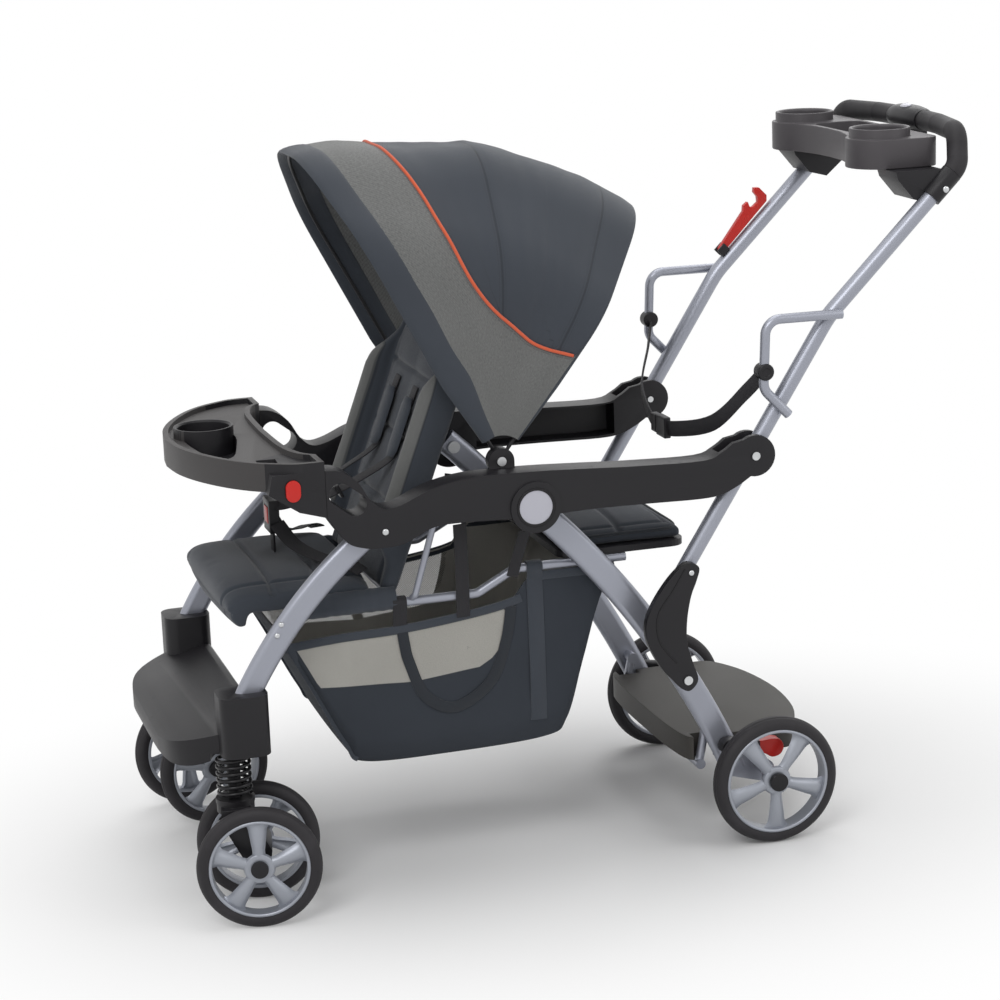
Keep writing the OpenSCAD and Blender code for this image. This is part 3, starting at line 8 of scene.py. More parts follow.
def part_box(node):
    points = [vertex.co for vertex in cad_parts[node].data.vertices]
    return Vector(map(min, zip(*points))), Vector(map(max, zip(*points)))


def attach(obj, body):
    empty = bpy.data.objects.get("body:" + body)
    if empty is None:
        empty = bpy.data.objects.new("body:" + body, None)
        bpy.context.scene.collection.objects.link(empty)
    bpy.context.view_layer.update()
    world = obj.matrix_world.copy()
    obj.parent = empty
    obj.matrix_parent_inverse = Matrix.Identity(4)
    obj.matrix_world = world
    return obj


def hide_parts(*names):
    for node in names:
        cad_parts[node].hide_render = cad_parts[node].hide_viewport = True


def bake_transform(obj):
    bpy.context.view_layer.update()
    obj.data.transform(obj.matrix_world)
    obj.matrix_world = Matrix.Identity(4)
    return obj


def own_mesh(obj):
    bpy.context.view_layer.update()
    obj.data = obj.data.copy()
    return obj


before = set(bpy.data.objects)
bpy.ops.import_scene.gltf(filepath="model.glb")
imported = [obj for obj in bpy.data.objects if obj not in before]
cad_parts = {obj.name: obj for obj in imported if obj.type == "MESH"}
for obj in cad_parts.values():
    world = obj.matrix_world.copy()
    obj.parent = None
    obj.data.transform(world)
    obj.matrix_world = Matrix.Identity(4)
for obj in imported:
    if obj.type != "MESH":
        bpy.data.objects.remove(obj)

bl_info = {
    "name": "Tandem stroller",
    "version": (1, 0, 0),
    "blender": (4, 5, 0),
    "location": "View3D > Sidebar > Stroller",
    "description": "Dresses the stroller's frame with cloth, moulded plastic, wheels and trim",
    "category": "Object",
}

LEFT, RIGHT = -1, 1
SIDES = ((LEFT, "l", "left"), (RIGHT, "r", "right"))
CANOPY_HINGE = Vector((-0.128, 0, 0.648))
SEAT_PLACE = Matrix.Translation((-0.286, 0, 0.437)) @ Matrix.Rotation(math.radians(21), 4, "Y")
CASTER_X, CASTER_Y = -0.562, 0.228
WELD = 0.00002


def srgb(r, g, b):
    """Linear colour of a screen colour given from 0 to 255."""
    def one(c):
        c /= 255
        return c / 12.92 if c <= 0.04045 else ((c + 0.055) / 1.055) ** 2.4
    return (one(r), one(g), one(b))


# Settings

def tint(name, text, colour):
    return bpy.props.FloatVectorProperty(name=name, description=text, default=colour, size=3, min=0, max=1,
        subtype="COLOR")


def size(name, text, value, low=0.0, high=1.0):
    return bpy.props.FloatProperty(name=name, description=text, default=value, min=low, max=high,
        unit="LENGTH")


class StrollerColours(bpy.types.PropertyGroup):
    """Colours of the cloth, the mouldings and the paint."""
    slate: tint("Slate cloth", "Main cloth of canopy, seats and basket", srgb(62, 67, 75))
    twill: tint("Light twill", "Lighter panel of the canopy and the seat wings", srgb(113, 114, 113))
    piping: tint("Piping", "Bright cord sewn along the canopy seam", srgb(228, 104, 70))
    silver: tint("Frame paint", "Satin silver of tubes and legs", srgb(160, 163, 174))
    rim: tint("Rim paint", "Silver of the wheel rims", srgb(158, 162, 171))
    black: tint("Black plastic", "Arms, footrest, hubs and brackets", srgb(32, 31, 34))
    tray: tint("Tray plastic", "Top of the child tray", srgb(69, 67, 67))
    cups: tint("Parent tray plastic", "Parent tray and cup holders", srgb(79, 76, 79))
    board: tint("Board plastic", "Standing board", srgb(64, 62, 59))
    red: tint("Red plastic", "Latch, buttons and brake", srgb(205, 46, 40))
    tyre: tint("Tyre rubber", "Tyres and grips", srgb(42, 40, 43))


class StrollerSizes(bpy.types.PropertyGroup):
    """Sizes of the trim that is added on the frame."""
    welt: size("Welt", "Thickness of the sewn welt on seats and bench", 0.005, 0.002, 0.010)
    cord: size("Piping thickness", "Thickness of the canopy's piping", 0.0052, 0.002, 0.010)
    hem: size("Hem height", "How far the canopy's front hem stands proud", 0.0035, 0.001, 0.008)
    strap: size("Strap width", "Width of the harness straps", 0.025, 0.015, 0.040)
    rivet: size("Rivet head", "Diameter of the frame's rivet heads", 0.012, 0.006, 0.020)


def colours():
    return bpy.context.scene.stroller_colours


def sizes():
    return bpy.context.scene.stroller_sizes


STEPS = []


def building_step(label):
    """Makes a function that builds some of the pieces into an operator of the add-on."""
    def listed(build):
        def execute(self, context):
            build()
            return {"FINISHED"}

        STEPS.append(type("STROLLER_OT_" + build.__name__, (bpy.types.Operator,), {
            "__doc__": build.__doc__,
            "bl_idname": "stroller." + build.__name__,
            "bl_label": label,
            "execute": execute,
        }))
        return build
    return listed


# Materials

CLOTH_SHEEN = {"sheen_weight": 0.25, "sheen_roughness": 0.5, "specular_ior_level": 0.25}


def math_method(operation, turned=False):
    """A method that feeds a Math node with its two operands, or with the same two turned round."""
    if turned:
        return lambda self, other: self.maths(operation, other, self)
    return lambda self, other=0.0: self.maths(operation, self, other)


class Wire:
    """One output socket; arithmetic on it adds Math nodes."""

    def __init__(self, finish, socket):
        self.finish, self.socket = finish, socket

    def maths(self, operation, a, b=0.0):
        return self.finish.node("ShaderNodeMath", {"operation": operation}, {0: a, 1: b})

    __add__, __radd__ = math_method("ADD"), math_method("ADD", True)
    __sub__, __rsub__ = math_method("SUBTRACT"), math_method("SUBTRACT", True)
    __mul__ = math_method("MULTIPLY")
    __pow__ = math_method("POWER")
    __lt__ = math_method("LESS_THAN")
    __abs__ = math_method("ABSOLUTE")
    sine = math_method("SINE")
    wrap = math_method("FLOORED_MODULO")
    either = math_method("MAXIMUM")

    def step(self, low, high):
        """0 below low, 1 above high, smooth between."""
        return self.finish.node("ShaderNodeMapRange", {"interpolation_type": "SMOOTHSTEP"},
            {"Value": self, "From Min": low, "From Max": high, "To Min": 0.0, "To Max": 1.0})


class Nodes:
    """A node tree under construction."""

    def __init__(self, tree):
        self.tree = tree
        tree.nodes.clear()

    def node(self, kind, settings=None, inputs=None, out=0):
        made = self.tree.nodes.new(kind)
        for key, value in (settings or {}).items():
            setattr(made, key, value)
        for key, value in (inputs or {}).items():
            self.feed(made.inputs[key], value)
        return Wire(self, made.outputs[out])

    def feed(self, socket, value):
        if isinstance(value, Wire):
            self.tree.links.new(value.socket, socket)
        elif socket.type == "RGBA" and len(value) == 3:
            socket.default_value = (*value, 1.0)
        else:
            socket.default_value = value

    def place(self):
        return self.node("ShaderNodeTexCoord", {}, {}, "Object")

    def cloth_place(self):
        return self.node("ShaderNodeUVMap", {"uv_map": "cloth"}, {})

    def mark(self, name):
        return self.node("ShaderNodeAttribute", {"attribute_name": name}, {}, "Fac")

    def split(self, place):
        apart = self.tree.nodes.new("ShaderNodeSeparateXYZ")
        self.feed(apart.inputs[0], place)
        return [Wire(self, s) for s in apart.outputs]

    def noise(self, place, scale, detail=3.0, rough=0.5):
        return self.node("ShaderNodeTexNoise", {},
            {"Vector": place, "Scale": scale, "Detail": detail, "Roughness": rough})

    def weave(self, across, along, thread):
        """Warp and weft of a plain cloth, from -1 to 1."""
        turn = 2 * math.pi / thread
        return (across * turn).sine() * (along * turn).sine()

    def mix(self, amount, first, second):
        blend = self.tree.nodes.new("ShaderNodeMix")
        blend.data_type = "RGBA"
        for socket, value in ((0, amount), (6, first), (7, second)):
            self.feed(blend.inputs[socket], value)
        return Wire(self, blend.outputs[2])

    def tones(self, amount, colour, dark, light):
        """A colour that varies between a darker and a lighter shade of itself."""
        return self.mix(amount, shade(colour, dark), shade(colour, light))

    def seen(self):
        """1 on rays that end in the picture, straight, mirrored or through; 0 on light going round."""
        rays = [self.node("ShaderNodeLightPath", {}, {}, word)
            for word in ("Is Camera Ray", "Is Glossy Ray", "Is Transmission Ray")]
        return rays[0].either(rays[1].either(rays[2]))


class Finish(Nodes):
    """A material round one Principled shader."""

    def __init__(self, name, **constants):
        self.material = bpy.data.materials.new(name)
        self.material.use_nodes = True
        super().__init__(self.material.node_tree)
        self.output = self.tree.nodes.new("ShaderNodeOutputMaterial")
        self.shader = self.tree.nodes.new("ShaderNodeBsdfPrincipled")
        self.surface = Wire(self, self.shader.outputs[0])
        self.feed(self.output.inputs["Surface"], self.surface)
        for key, value in constants.items():
            self.set(key.replace("_", " ").title().replace("Ior", "IOR"), value)

    def set(self, name, value):
        self.feed(self.shader.inputs[name], value)

    def bump(self, height, strength, distance):
        self.set("Normal",
            self.node("ShaderNodeBump", {}, {"Height": height, "Strength": strength, "Distance": distance}))


def shade(colour, k):
    return tuple(min(1.0, c * k) for c in colour)


def moulded(name, colour, rough=0.42, grain=0.16):
    """Moulded plastic: fine spark grain, faint cloudiness and handling marks."""
    f = Finish(name, ior=1.46, specular_ior_level=0.32)
    p = f.place()
    fine, cloud = f.noise(p, 1500.0, 2.0), f.noise(p, 9.0, 4.0)
    scuff = f.noise(p, 55.0, 6.0, 0.7).step(0.60, 0.74)
    f.set("Base Color", f.tones(scuff * 0.35 + cloud * 0.30, colour, 0.92, 1.35))
    f.set("Roughness", rough + (fine - 0.5) * 0.16 + scuff * 0.10 + (cloud - 0.5) * 0.10)
    f.bump(fine + scuff * 0.3, grain, 0.0006)
    return f.material


def painted(name, colour, metallic=0.55, rough=0.36):
    """Satin silver paint: metal flake, light dust and small scratches."""
    f = Finish(name, coat_weight=0.18, coat_roughness=0.22)
    p = f.place()
    flake, cloud = f.noise(p, 2600.0, 1.0), f.noise(p, 7.0, 4.0)
    scratch = f.noise(p, 130.0, 6.0, 0.75).step(0.66, 0.76)
    f.set("Base Color", f.tones((flake - 0.5) * 0.9 + cloud * 0.5, colour, 0.90, 1.10))
    f.set("Metallic", metallic - scratch * 0.25)
    f.set("Roughness", rough + (flake - 0.5) * 0.20 + scratch * 0.15)
    f.bump(flake, 0.05, 0.0004)
    return f.material


def plated(name, colour):
    """Zinc plated steel of rivets, pins and the rear axle."""
    f = Finish(name, metallic=1.0)
    p = f.place()
    cloud = f.noise(p, 160.0, 4.0)
    f.set("Base Color", f.tones(cloud, colour, 0.80, 1.08))
    f.set("Roughness", 0.26 + cloud * 0.16)
    return f.material


def rubber(name, colour):
    """Tyre rubber and foam grips: dusty, with fine pores."""
    f = Finish(name, specular_ior_level=0.35)
    p = f.place()
    dust = f.noise(p, 24.0, 5.0)
    pores = f.noise(p, 900.0, 2.0)
    f.set("Base Color", f.tones(dust.step(0.45, 0.80) * 0.55, colour, 0.9, 1.9))
    f.set("Roughness", 0.62 + (pores - 0.5) * 0.2)
    f.bump(pores, 0.22, 0.0008)
    return f.material


def woven(name, colour, thread=0.0012, uv=True, contrast=0.5, light=1.28):
    """Plain woven cloth: warp and weft, yarn fleck and slow fading."""
    f = Finish(name, **CLOTH_SHEEN)
    p = f.cloth_place() if uv else f.place()
    x, y, z = f.split(p)
    across, along = (x, y) if uv else (x + z * 0.55, y + z * 0.83)
    weave = f.weave(across, along, thread)
    fleck, fade = f.noise(p, 700.0, 3.0), f.noise(p, 8.0, 5.0)
    tone = 0.5 + weave * 0.20 * contrast + (fleck - 0.5) * 0.9 * contrast + (fade - 0.5) * 0.55
    f.set("Base Color", f.tones(tone, colour, 0.66, light))
    f.set("Roughness", 0.78 + (fleck - 0.5) * 0.2)
    f.bump(weave * 0.5 + fleck * 0.6, 0.35, 0.0006)
    return f.material


def seat_cloth(name):
    """Front seat's back: slate cloth with the light twill edge of its wings, sewn on."""
    c = colours()
    f = Finish(name, **CLOTH_SHEEN)
    p = f.place()
    x, y, z = f.split(p)
    weave = f.weave(x + z * 0.55, y + z * 0.83, 0.0013)
    fleck, fade = f.noise(p, 700.0, 3.0), f.noise(p, 8.0, 5.0)
    edge = f.mark("edge")
    light = edge.step(-0.0006, 0.0006)
    seam = 1 - abs(edge).step(0.0008, 0.0024)
    tone = 0.5 + weave * 0.10 + (fleck - 0.5) * 0.5 + (fade - 0.5) * 0.5
    slate = f.tones(tone, c.slate, 0.66, 1.28)
    cloth = f.mix(light, slate, f.tones(tone, c.twill, 0.62, 1.28))
    f.set("Base Color", f.mix(seam * 0.55, cloth, shade(c.slate, 0.35)))
    f.set("Roughness", 0.78 + (fleck - 0.5) * 0.2)
    f.bump(weave * 0.5 + fleck * 0.6 - seam * 1.2, 0.35, 0.0007)
    return f.material


def webbing(name, colour, width=0.025):
    """Strap webbing: ribs across the strap and a flat selvedge down each side."""
    f = Finish(name, specular_ior_level=0.35)
    p = f.cloth_place()
    u, v, _ = f.split(p)
    rib = (v * (2 * math.pi / 0.0016)).sine()
    chevron = ((abs(u - width / 2) * 2 + v) * (2 * math.pi / 0.0034)).sine()
    fleck = f.noise(p, 600.0, 2.0)
    f.set("Base Color",
        f.tones(0.45 + rib * 0.12 + chevron * 0.18 + (fleck - 0.5) * 0.6, colour, 0.6, 1.9))
    f.set("Roughness", 0.66 + (fleck - 0.5) * 0.2)
    f.bump(rib * 0.5 + chevron * 0.5, 0.4, 0.0006)
    return f.material


def canopy_cloth(name):
    """Canopy: slate cloth, a light twill panel ahead of the piping, and sewn seams."""
    c = colours()
    f = Finish(name, **CLOTH_SHEEN)
    p = f.cloth_place()
    u, v, _ = f.split(p)
    plain = f.weave(u, v, 0.0013)
    rib = ((u + v) * (2 * math.pi / 0.0024)).sine()
    broken = ((u - v) * (2 * math.pi / 0.0056)).sine()
    fleck, fade = f.noise(p, 620.0, 3.0), f.noise(p, 6.5, 5.0)
    heather = f.noise(p, 240.0, 2.0)
    panel = f.mark("panel").step(-0.0004, 0.0004)
    slate_tone = 0.5 + plain * 0.10 + (fleck - 0.5) * 0.5 + (fade - 0.5) * 0.5
    slate = f.tones(slate_tone, c.slate, 0.70, 1.25)
    ribs = rib * 0.22 + broken * 0.10
    twill_tone = 0.5 + ribs + (fleck - 0.5) * 0.7 + (heather - 0.5) * 1.1 + (fade - 0.5) * 0.3
    twill = f.tones(twill_tone, c.twill, 0.58, 1.34)
    seam = f.mark("seam")
    groove = 1 - abs(seam).step(0.0006, 0.0030)
    stitch = (abs(abs(seam) - 0.0050) < 0.0006) * ((f.mark("along").wrap(0.0042)) < 0.0028)
    cloth = f.mix(panel, slate, twill)
    f.set("Base Color", f.mix(groove * 0.55 + stitch * 0.35, cloth, shade(c.slate, 0.35)))
    f.set("Roughness", 0.80 + (fleck - 0.5) * 0.2)
    f.bump(plain * 0.25 + rib * panel * 0.4 + fleck * 0.4 - groove * 1.5 + stitch * 0.8, 0.40, 0.0008)
    return f.material


def basket_cloth(name, body):
    """Basket: light open net in the front of its sides, plain cloth of the given colour elsewhere."""
    f = Finish(name, specular_ior_level=0.25)
    p = f.cloth_place()
    u, v, _ = f.split(p)
    net = f.mark("net").step(-0.0005, 0.0005)
    pitch, hole = 0.0032, 0.29
    strand = 1 - ((abs((u + v).wrap(pitch) - pitch / 2) < pitch * hole)
                  * (abs((u - v).wrap(pitch) - pitch / 2) < pitch * hole))
    weave = f.weave(u, v, 0.0013)
    fleck, fade = f.noise(p, 620.0, 3.0), f.noise(p, 7.0, 5.0)
    plain = f.tones(0.5 + weave * 0.1 + (fleck - 0.5) * 0.5 + (fade - 0.5) * 0.5, body, 0.66, 1.20)
    light = f.mix(0.5 + (fade - 0.5) * 0.5 + (fleck - 0.5) * 0.8, srgb(166, 164, 158), srgb(214, 212, 205))
    f.set("Base Color", f.mix(net, plain, light))
    f.set("Roughness", 0.78 + (fleck - 0.5) * 0.2)
    f.set("Alpha", 1 - net * (1 - strand))
    f.bump(weave * 0.3 + fleck * 0.5 + net * strand, 0.35, 0.0007)
    return f.material


FINISHES = {}


def finish(name):
    """The stroller's finishes, each made once."""
    c = colours()
    makers = {
        "silver_paint": (painted, c.silver),
        "rim_paint": (painted, c.rim, 0.45, 0.40),
        "badge_grey": (painted, srgb(188, 188, 198), 0.25, 0.34),
        "black_plastic": (moulded, c.black),
        "gloss_black": (moulded, shade(c.black, 0.7), 0.24, 0.05),
        "tray_plastic": (moulded, c.tray, 0.48, 0.22),
        "cup_plastic": (moulded, c.cups, 0.44, 0.20),
        "board_plastic": (moulded, c.board, 0.55, 0.28),
        "red_plastic": (moulded, c.red, 0.32, 0.08),
        "tyre_rubber": (rubber, c.tyre),
        "foam_grip": (rubber, shade(c.tyre, 0.85)),
        "zinc": (plated, (0.60, 0.61, 0.62)),
        "slate_cloth": (woven, c.slate, 0.0012, False),
        "slate_sheet": (woven, c.slate),
        "dark_sheet": (woven, shade(c.slate, 0.50)),
        "piping_cloth": (woven, c.piping, 0.0010, True, 0.5, 1.15),
        "strap_webbing": (webbing, srgb(36, 35, 38)),
        "canopy_cloth": (canopy_cloth,),
        "seat_cloth": (seat_cloth,),
        "basket_cloth": (basket_cloth, shade(c.slate, 0.80)),
        # Pale finish for the basket's inside face: painted light that lightens the shaded inside, as if
        # light came through the net
        "basket_lining": (basket_cloth, srgb(196, 194, 188)),
    }
    if name not in FINISHES:
        make, *values = makers[name]
        FINISHES[name] = make(name, *values)
    return FINISHES[name]


# Helpers that make and finish meshes

def deselect():
    if bpy.context.object and bpy.context.object.mode != "OBJECT":
        bpy.ops.object.mode_set(mode="OBJECT")
    bpy.ops.object.select_all(action="DESELECT")


def pick(*objs):
    deselect()
    for obj in objs:
        obj.select_set(True)
    bpy.context.view_layer.objects.active = objs[0]
    return objs[0]


def edit(obj, how="FACE"):
    """Goes into edit mode with all of a mesh selected."""
    pick(obj)
    bpy.ops.object.mode_set(mode="EDIT")
    bpy.ops.mesh.select_mode(type=how)
    bpy.ops.mesh.select_all(action="SELECT")


def done():
    bpy.ops.object.mode_set(mode="OBJECT")


def choose(obj, test):
    """Selects the faces that pass a test, and goes into edit mode."""
    done()
    mesh = obj.data
    for part in (mesh.polygons, mesh.edges, mesh.vertices):
        part.foreach_set("select", [False] * len(part))
    for face in mesh.polygons:
        face.select = test(face)
    bpy.ops.object.mode_set(mode="EDIT")


def apply_all(obj):
    pick(obj)
    for modifier in list(obj.modifiers):
        bpy.ops.object.modifier_apply(modifier=modifier.name)


def smooth(obj, angle=35):
    pick(obj)
    bpy.ops.object.shade_smooth_by_angle(angle=math.radians(angle))
    return obj


def outward(obj):
    edit(obj)
    bpy.ops.mesh.remove_doubles(threshold=WELD)
    bpy.ops.mesh.normals_make_consistent(inside=False)
    done()


def named(name):
    obj = bpy.context.object
    obj.name = obj.data.name = name
    return obj


def dress(obj, material, body, *nodes, slot=None):
    if material:
        obj.data.materials.clear()
        obj.data.materials.append(finish(material))
    if body:
        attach(obj, body)
    if nodes:
        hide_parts(*nodes)
    return obj


def copy_of(obj, name, move=None):
    twin = bpy.data.objects.new(name, obj.data.copy())
    twin.data.name = name
    bpy.context.collection.objects.link(twin)
    if move is not None:
        twin.data.transform(move)
        if move.determinant() < 0:
            twin.data.flip_normals()
    return twin


MIRROR = Matrix.Scale(-1, 4, (0, 1, 0))


def joined(name, *objs):
    pick(*objs)
    bpy.ops.object.join()
    return named(name)


def rounded_copy(node, name, width):
    """A copy of a CAD node with its sharp edges rounded."""
    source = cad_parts[node]
    obj = bpy.data.objects.new(name, source.data.copy())
    bpy.context.collection.objects.link(obj)
    obj.data.materials.clear()
    edit(obj)
    bpy.ops.mesh.remove_doubles(threshold=WELD)
    bpy.ops.mesh.dissolve_limited(angle_limit=math.radians(0.6))
    done()
    bevel = obj.modifiers.new("edges", "BEVEL")
    bevel.width, bevel.segments = width, 3
    bevel.limit_method = "ANGLE"
    bevel.angle_limit = math.radians(38)
    bevel.use_clamp_overlap = True
    apply_all(obj)
    return smooth(obj, 30)


def bevelled(obj, width):
    """Rounds the sharp edges of a small moulding."""
    bevel = obj.modifiers.new("edges", "BEVEL")
    bevel.width, bevel.segments, bevel.limit_method = width, 3, "ANGLE"
    apply_all(obj)


def walled(obj, thick):
    """Gives a sheet a thickness on its back."""
    wall = obj.modifiers.new("wall", "SOLIDIFY")
    wall.thickness, wall.offset = thick, -1
    return wall


def grid_sheet(name, rows, close_rows=False, close_columns=False, caps=False):
    """A sheet over rows of points, with a cloth map in metres; caps close the two ends of a tube."""
    n, m = len(rows[0]), len(rows)
    points = [p for row in rows for p in row]
    cells = []
    for i in range(m if close_rows else m - 1):
        for j in range(n if close_columns else n - 1):
            a, b = i * n + j, i * n + (j + 1) % n
            c, d = ((i + 1) % m) * n + (j + 1) % n, ((i + 1) % m) * n + j
            cells.append((a, b, c, d))
    if caps:
        cells += [tuple(reversed(range(n))), tuple(range((m - 1) * n, m * n))]
    mesh = bpy.data.meshes.new(name)
    mesh.from_pydata([tuple(p) for p in points], [], cells)
    obj = bpy.data.objects.new(name, mesh)
    bpy.context.collection.objects.link(obj)
    middle = n // 2
    down = [0.0]
    for i in range(1, m + 1):
        down.append(down[-1] + (Vector(rows[i % m][middle]) - Vector(rows[i - 1][middle])).length)
    over = []
    for row in rows:
        run = [0.0]
        for j in range(1, n + 1):
            run.append(run[-1] + (Vector(row[j % n]) - Vector(row[j - 1])).length)
        over.append(run)
    layer = mesh.uv_layers.new(name="cloth")
    k = 0
    for i in range(m if close_rows else m - 1):
        for j in range(n if close_columns else n - 1):
            for di, dj in ((0, 0), (0, 1), (1, 1), (1, 0)):
                layer.data[k].uv = (over[(i + di) % m][j + dj], down[i + di])
                k += 1
    return obj


def mark_points(obj, name, values):
    layer = obj.data.attributes.new(name, "FLOAT", "POINT")
    layer.data.foreach_set("value", values)


def smooth_curve(points, steps):
    """Points on a rounded curve through the given ones."""
    pts = [Vector(p) for p in points]
    out = []
    for i in range(len(pts) - 1):
        p0, p1, p2, p3 = pts[max(i - 1, 0)], pts[i], pts[i + 1], pts[min(i + 2, len(pts) - 1)]
        for k in range(steps):
            t = k / steps
            out.append(0.5 * (2 * p1 + (p2 - p0) * t + (2 * p0 - 5 * p1 + 4 * p2 - p3) * t * t
                              + (3 * p1 - p0 - 3 * p2 + p3) * t ** 3))
    out.append(pts[-1])
    return out


def swept(name, path, section, facing, closed=False):
    """A section carried along a path; facing gives the direction of its second axis at each step."""
    rows = []
    for i, p in enumerate(path):
        ahead = path[(i + 1) % len(path)] if closed or i + 1 < len(path) else p
        behind = path[i - 1] if closed or i > 0 else p
        t = (ahead - behind).normalized()
        up = facing(i)
        up = (up - t * up.dot(t)).normalized()
        side = t.cross(up)
        rows.append([p + side * x + up * y for x, y in section])
    obj = grid_sheet(name, rows, close_rows=closed, close_columns=True, caps=not closed)
    edit(obj)
    bpy.ops.mesh.normals_make_consistent(inside=False)
    done()
    return obj


def around(count):
    """Angles evenly round a full turn."""
    return [2 * math.pi * k / count for k in range(count)]


def ring(d, sides=10):
    return [(d / 2 * math.cos(a), d / 2 * math.sin(a)) for a in around(sides)]


def flat(w, t):
    """A strap's section with soft edges."""
    return [(-w / 2, -t * 0.25), (-w / 2 + t * 0.4, -t / 2), (w / 2 - t * 0.4, -t / 2), (w / 2, -t * 0.25),
            (w / 2, t * 0.25), (w / 2 - t * 0.4, t / 2), (-w / 2 + t * 0.4, t / 2), (-w / 2, t * 0.25)]


def lathe(name, profile, steps=64):
    """Spins a closed profile of (radius, height) points about Z."""
    deselect()
    bpy.ops.mesh.primitive_circle_add(vertices=len(profile), radius=0.01)
    obj = named(name)
    for point, (r, z) in zip(obj.data.vertices, profile):
        point.co = (r, 0, z)
    edit(obj, "VERT")
    bpy.ops.mesh.spin(steps=steps, angle=2 * math.pi, center=(0, 0, 0), axis=(0, 0, 1))
    bpy.ops.mesh.select_all(action="SELECT")
    bpy.ops.mesh.remove_doubles(threshold=WELD)
    bpy.ops.mesh.normals_make_consistent(inside=False)
    done()
    return obj


def rounded_ring(points, r=0.0008, n=3):
    """Rounds the corners of a closed profile."""
    out = []
    for i, p in enumerate(points):
        a, p, b = Vector(points[i - 1]), Vector(p), Vector(points[(i + 1) % len(points)])
        k = min(r, (a - p).length * 0.4, (b - p).length * 0.4)
        s, e = p + (a - p).normalized() * k, p + (b - p).normalized() * k
        for j in range(n + 1):
            t = j / n
            out.append(tuple(s * (1 - t) ** 2 + p * (2 * t * (1 - t)) + e * t * t))
    return out


def dome(name, d, h):
    """A rivet head or cap lying on z = 0, standing up to h."""
    profile = [(0.00001, -0.0006), (d * 0.5, -0.0006), (d * 0.5, h * 0.35), (d * 0.46, h * 0.62),
        (d * 0.36, h * 0.85), (d * 0.20, h * 0.97), (0.00001, h)]
    obj = lathe(name, profile, 20)
    return smooth(obj, 40)


def seat_on(point, normal):
    """Matrix that stands a piece drawn on Z at a point, facing along a normal."""
    return Matrix.Translation(point) @ Vector(normal).to_track_quat("Z", "Y").to_matrix().to_4x4()


def rivets(name, material, body, d, h, places):
    """One piece of like rivet heads at (point, normal) places."""
    first = dome(name, d, h)
    heads = [copy_of(first, name + ".copy", seat_on(p, n)) for p, n in places]
    bpy.data.objects.remove(first)
    obj = joined(name, *heads)
    return dress(smooth(obj, 40), material, body)


def both_sides(places):
    return places + [((p[0], -p[1], p[2]), (n[0], -n[1], n[2])) for p, n in places]


# Stage

@building_step("Stage")
def stage():
    """Pale floor, soft studio light and the camera"""
    scene = bpy.context.scene
    scene.view_settings.view_transform = "Standard"
    deselect()
    bpy.ops.mesh.primitive_plane_add(size=60)
    floor = named("floor")
    f = Finish("floor_paper")
    place = f.place()
    cloud = f.noise(place, 0.6, 2.0)
    f.set("Base Color", f.mix(cloud, (0.90, 0.90, 0.90), (0.94, 0.94, 0.94)))
    f.set("Roughness", 0.9)
    f.set("Specular IOR Level", 0.1)
    x, y, _ = f.split(place)
    away = ((x * x * 0.55 + y * y) ** 0.5).step(0.25, 0.95)
    white = f.node("ShaderNodeEmission", {}, {"Color": (1, 1, 1), "Strength": 1.0})
    faded = f.node("ShaderNodeMixShader", {}, {0: away * f.seen(), 1: f.surface, 2: white})
    f.feed(f.output.inputs["Surface"], faded)
    floor.data.materials.append(f.material)
    world = bpy.data.worlds.new("studio")
    scene.world = world
    world.use_nodes = True
    sky = Nodes(world.node_tree)
    room, paper = [sky.node("ShaderNodeBackground", {}, {"Color": (1, 1, 1), "Strength": k})
        for k in (0.40, 1.0)]
    both = sky.node("ShaderNodeMixShader", {}, {0: sky.seen(), 1: room, 2: paper})
    sky.feed(sky.tree.nodes.new("ShaderNodeOutputWorld").inputs["Surface"], both)
    for name, place, power, width in (("key", (-2.4, -3.4, 4.2), 92, 2.4),
            ("fill", (3.0, -2.6, 2.6), 26, 2.2), ("top", (0.2, 0.6, 4.4), 52, 3.0),
            ("back", (2.4, 3.6, 3.4), 34, 2.6)):
        lamp = bpy.data.lights.new(name, "AREA")
        lamp.energy, lamp.size = power, width
        obj = bpy.data.objects.new(name, lamp)
        scene.collection.objects.link(obj)
        obj.location = place
        obj.rotation_euler = (Vector((0, 0, 0.5)) - Vector(place)).to_track_quat("-Z", "Y").to_euler()
    lens = bpy.data.cameras.new("camera")
    lens.lens, lens.sensor_width = 97.2, 36.0
    camera = bpy.data.objects.new("camera", lens)
    scene.collection.objects.link(camera)
    az, el, roll = math.radians(-16.26), math.radians(13.79), math.radians(-2.2)
    ahead = Vector((math.sin(-az) * math.cos(el), math.cos(az) * math.cos(el), -math.sin(el)))
    right = ahead.cross(Vector((0, 0, 1))).normalized()
    level = right * math.cos(roll) + right.cross(ahead) * math.sin(roll)
    turn = Matrix((level, level.cross(ahead), -ahead)).transposed().to_4x4()
    turn.translation = (-1.230, -3.980, 1.551)
    camera.matrix_world = turn
    scene.camera = camera


# Frame and mouldings

@building_step("Metalwork")
def metalwork():
    """Paint on legs, tubes and rails, plating on pins and axle"""
    paints = {
        "silver_paint": ["front_leg_l", "front_leg_r", "seat_rails", "handle_tube_l", "handle_tube_r",
            "grab_loops", "rear_leg_l", "rear_leg_r", "platform_tube"],
        "zinc": ["frame_pins", "rear_axle", "leg_pins"],
        "black_plastic": ["suspension_stem_l", "suspension_stem_r", "canopy_rear_bow", "canopy_front_bow",
            "bench_base"],
    }
    for name, nodes in paints.items():
        for node in nodes:
            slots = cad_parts[node].data.materials
            slots.clear()
            slots.append(finish(name))


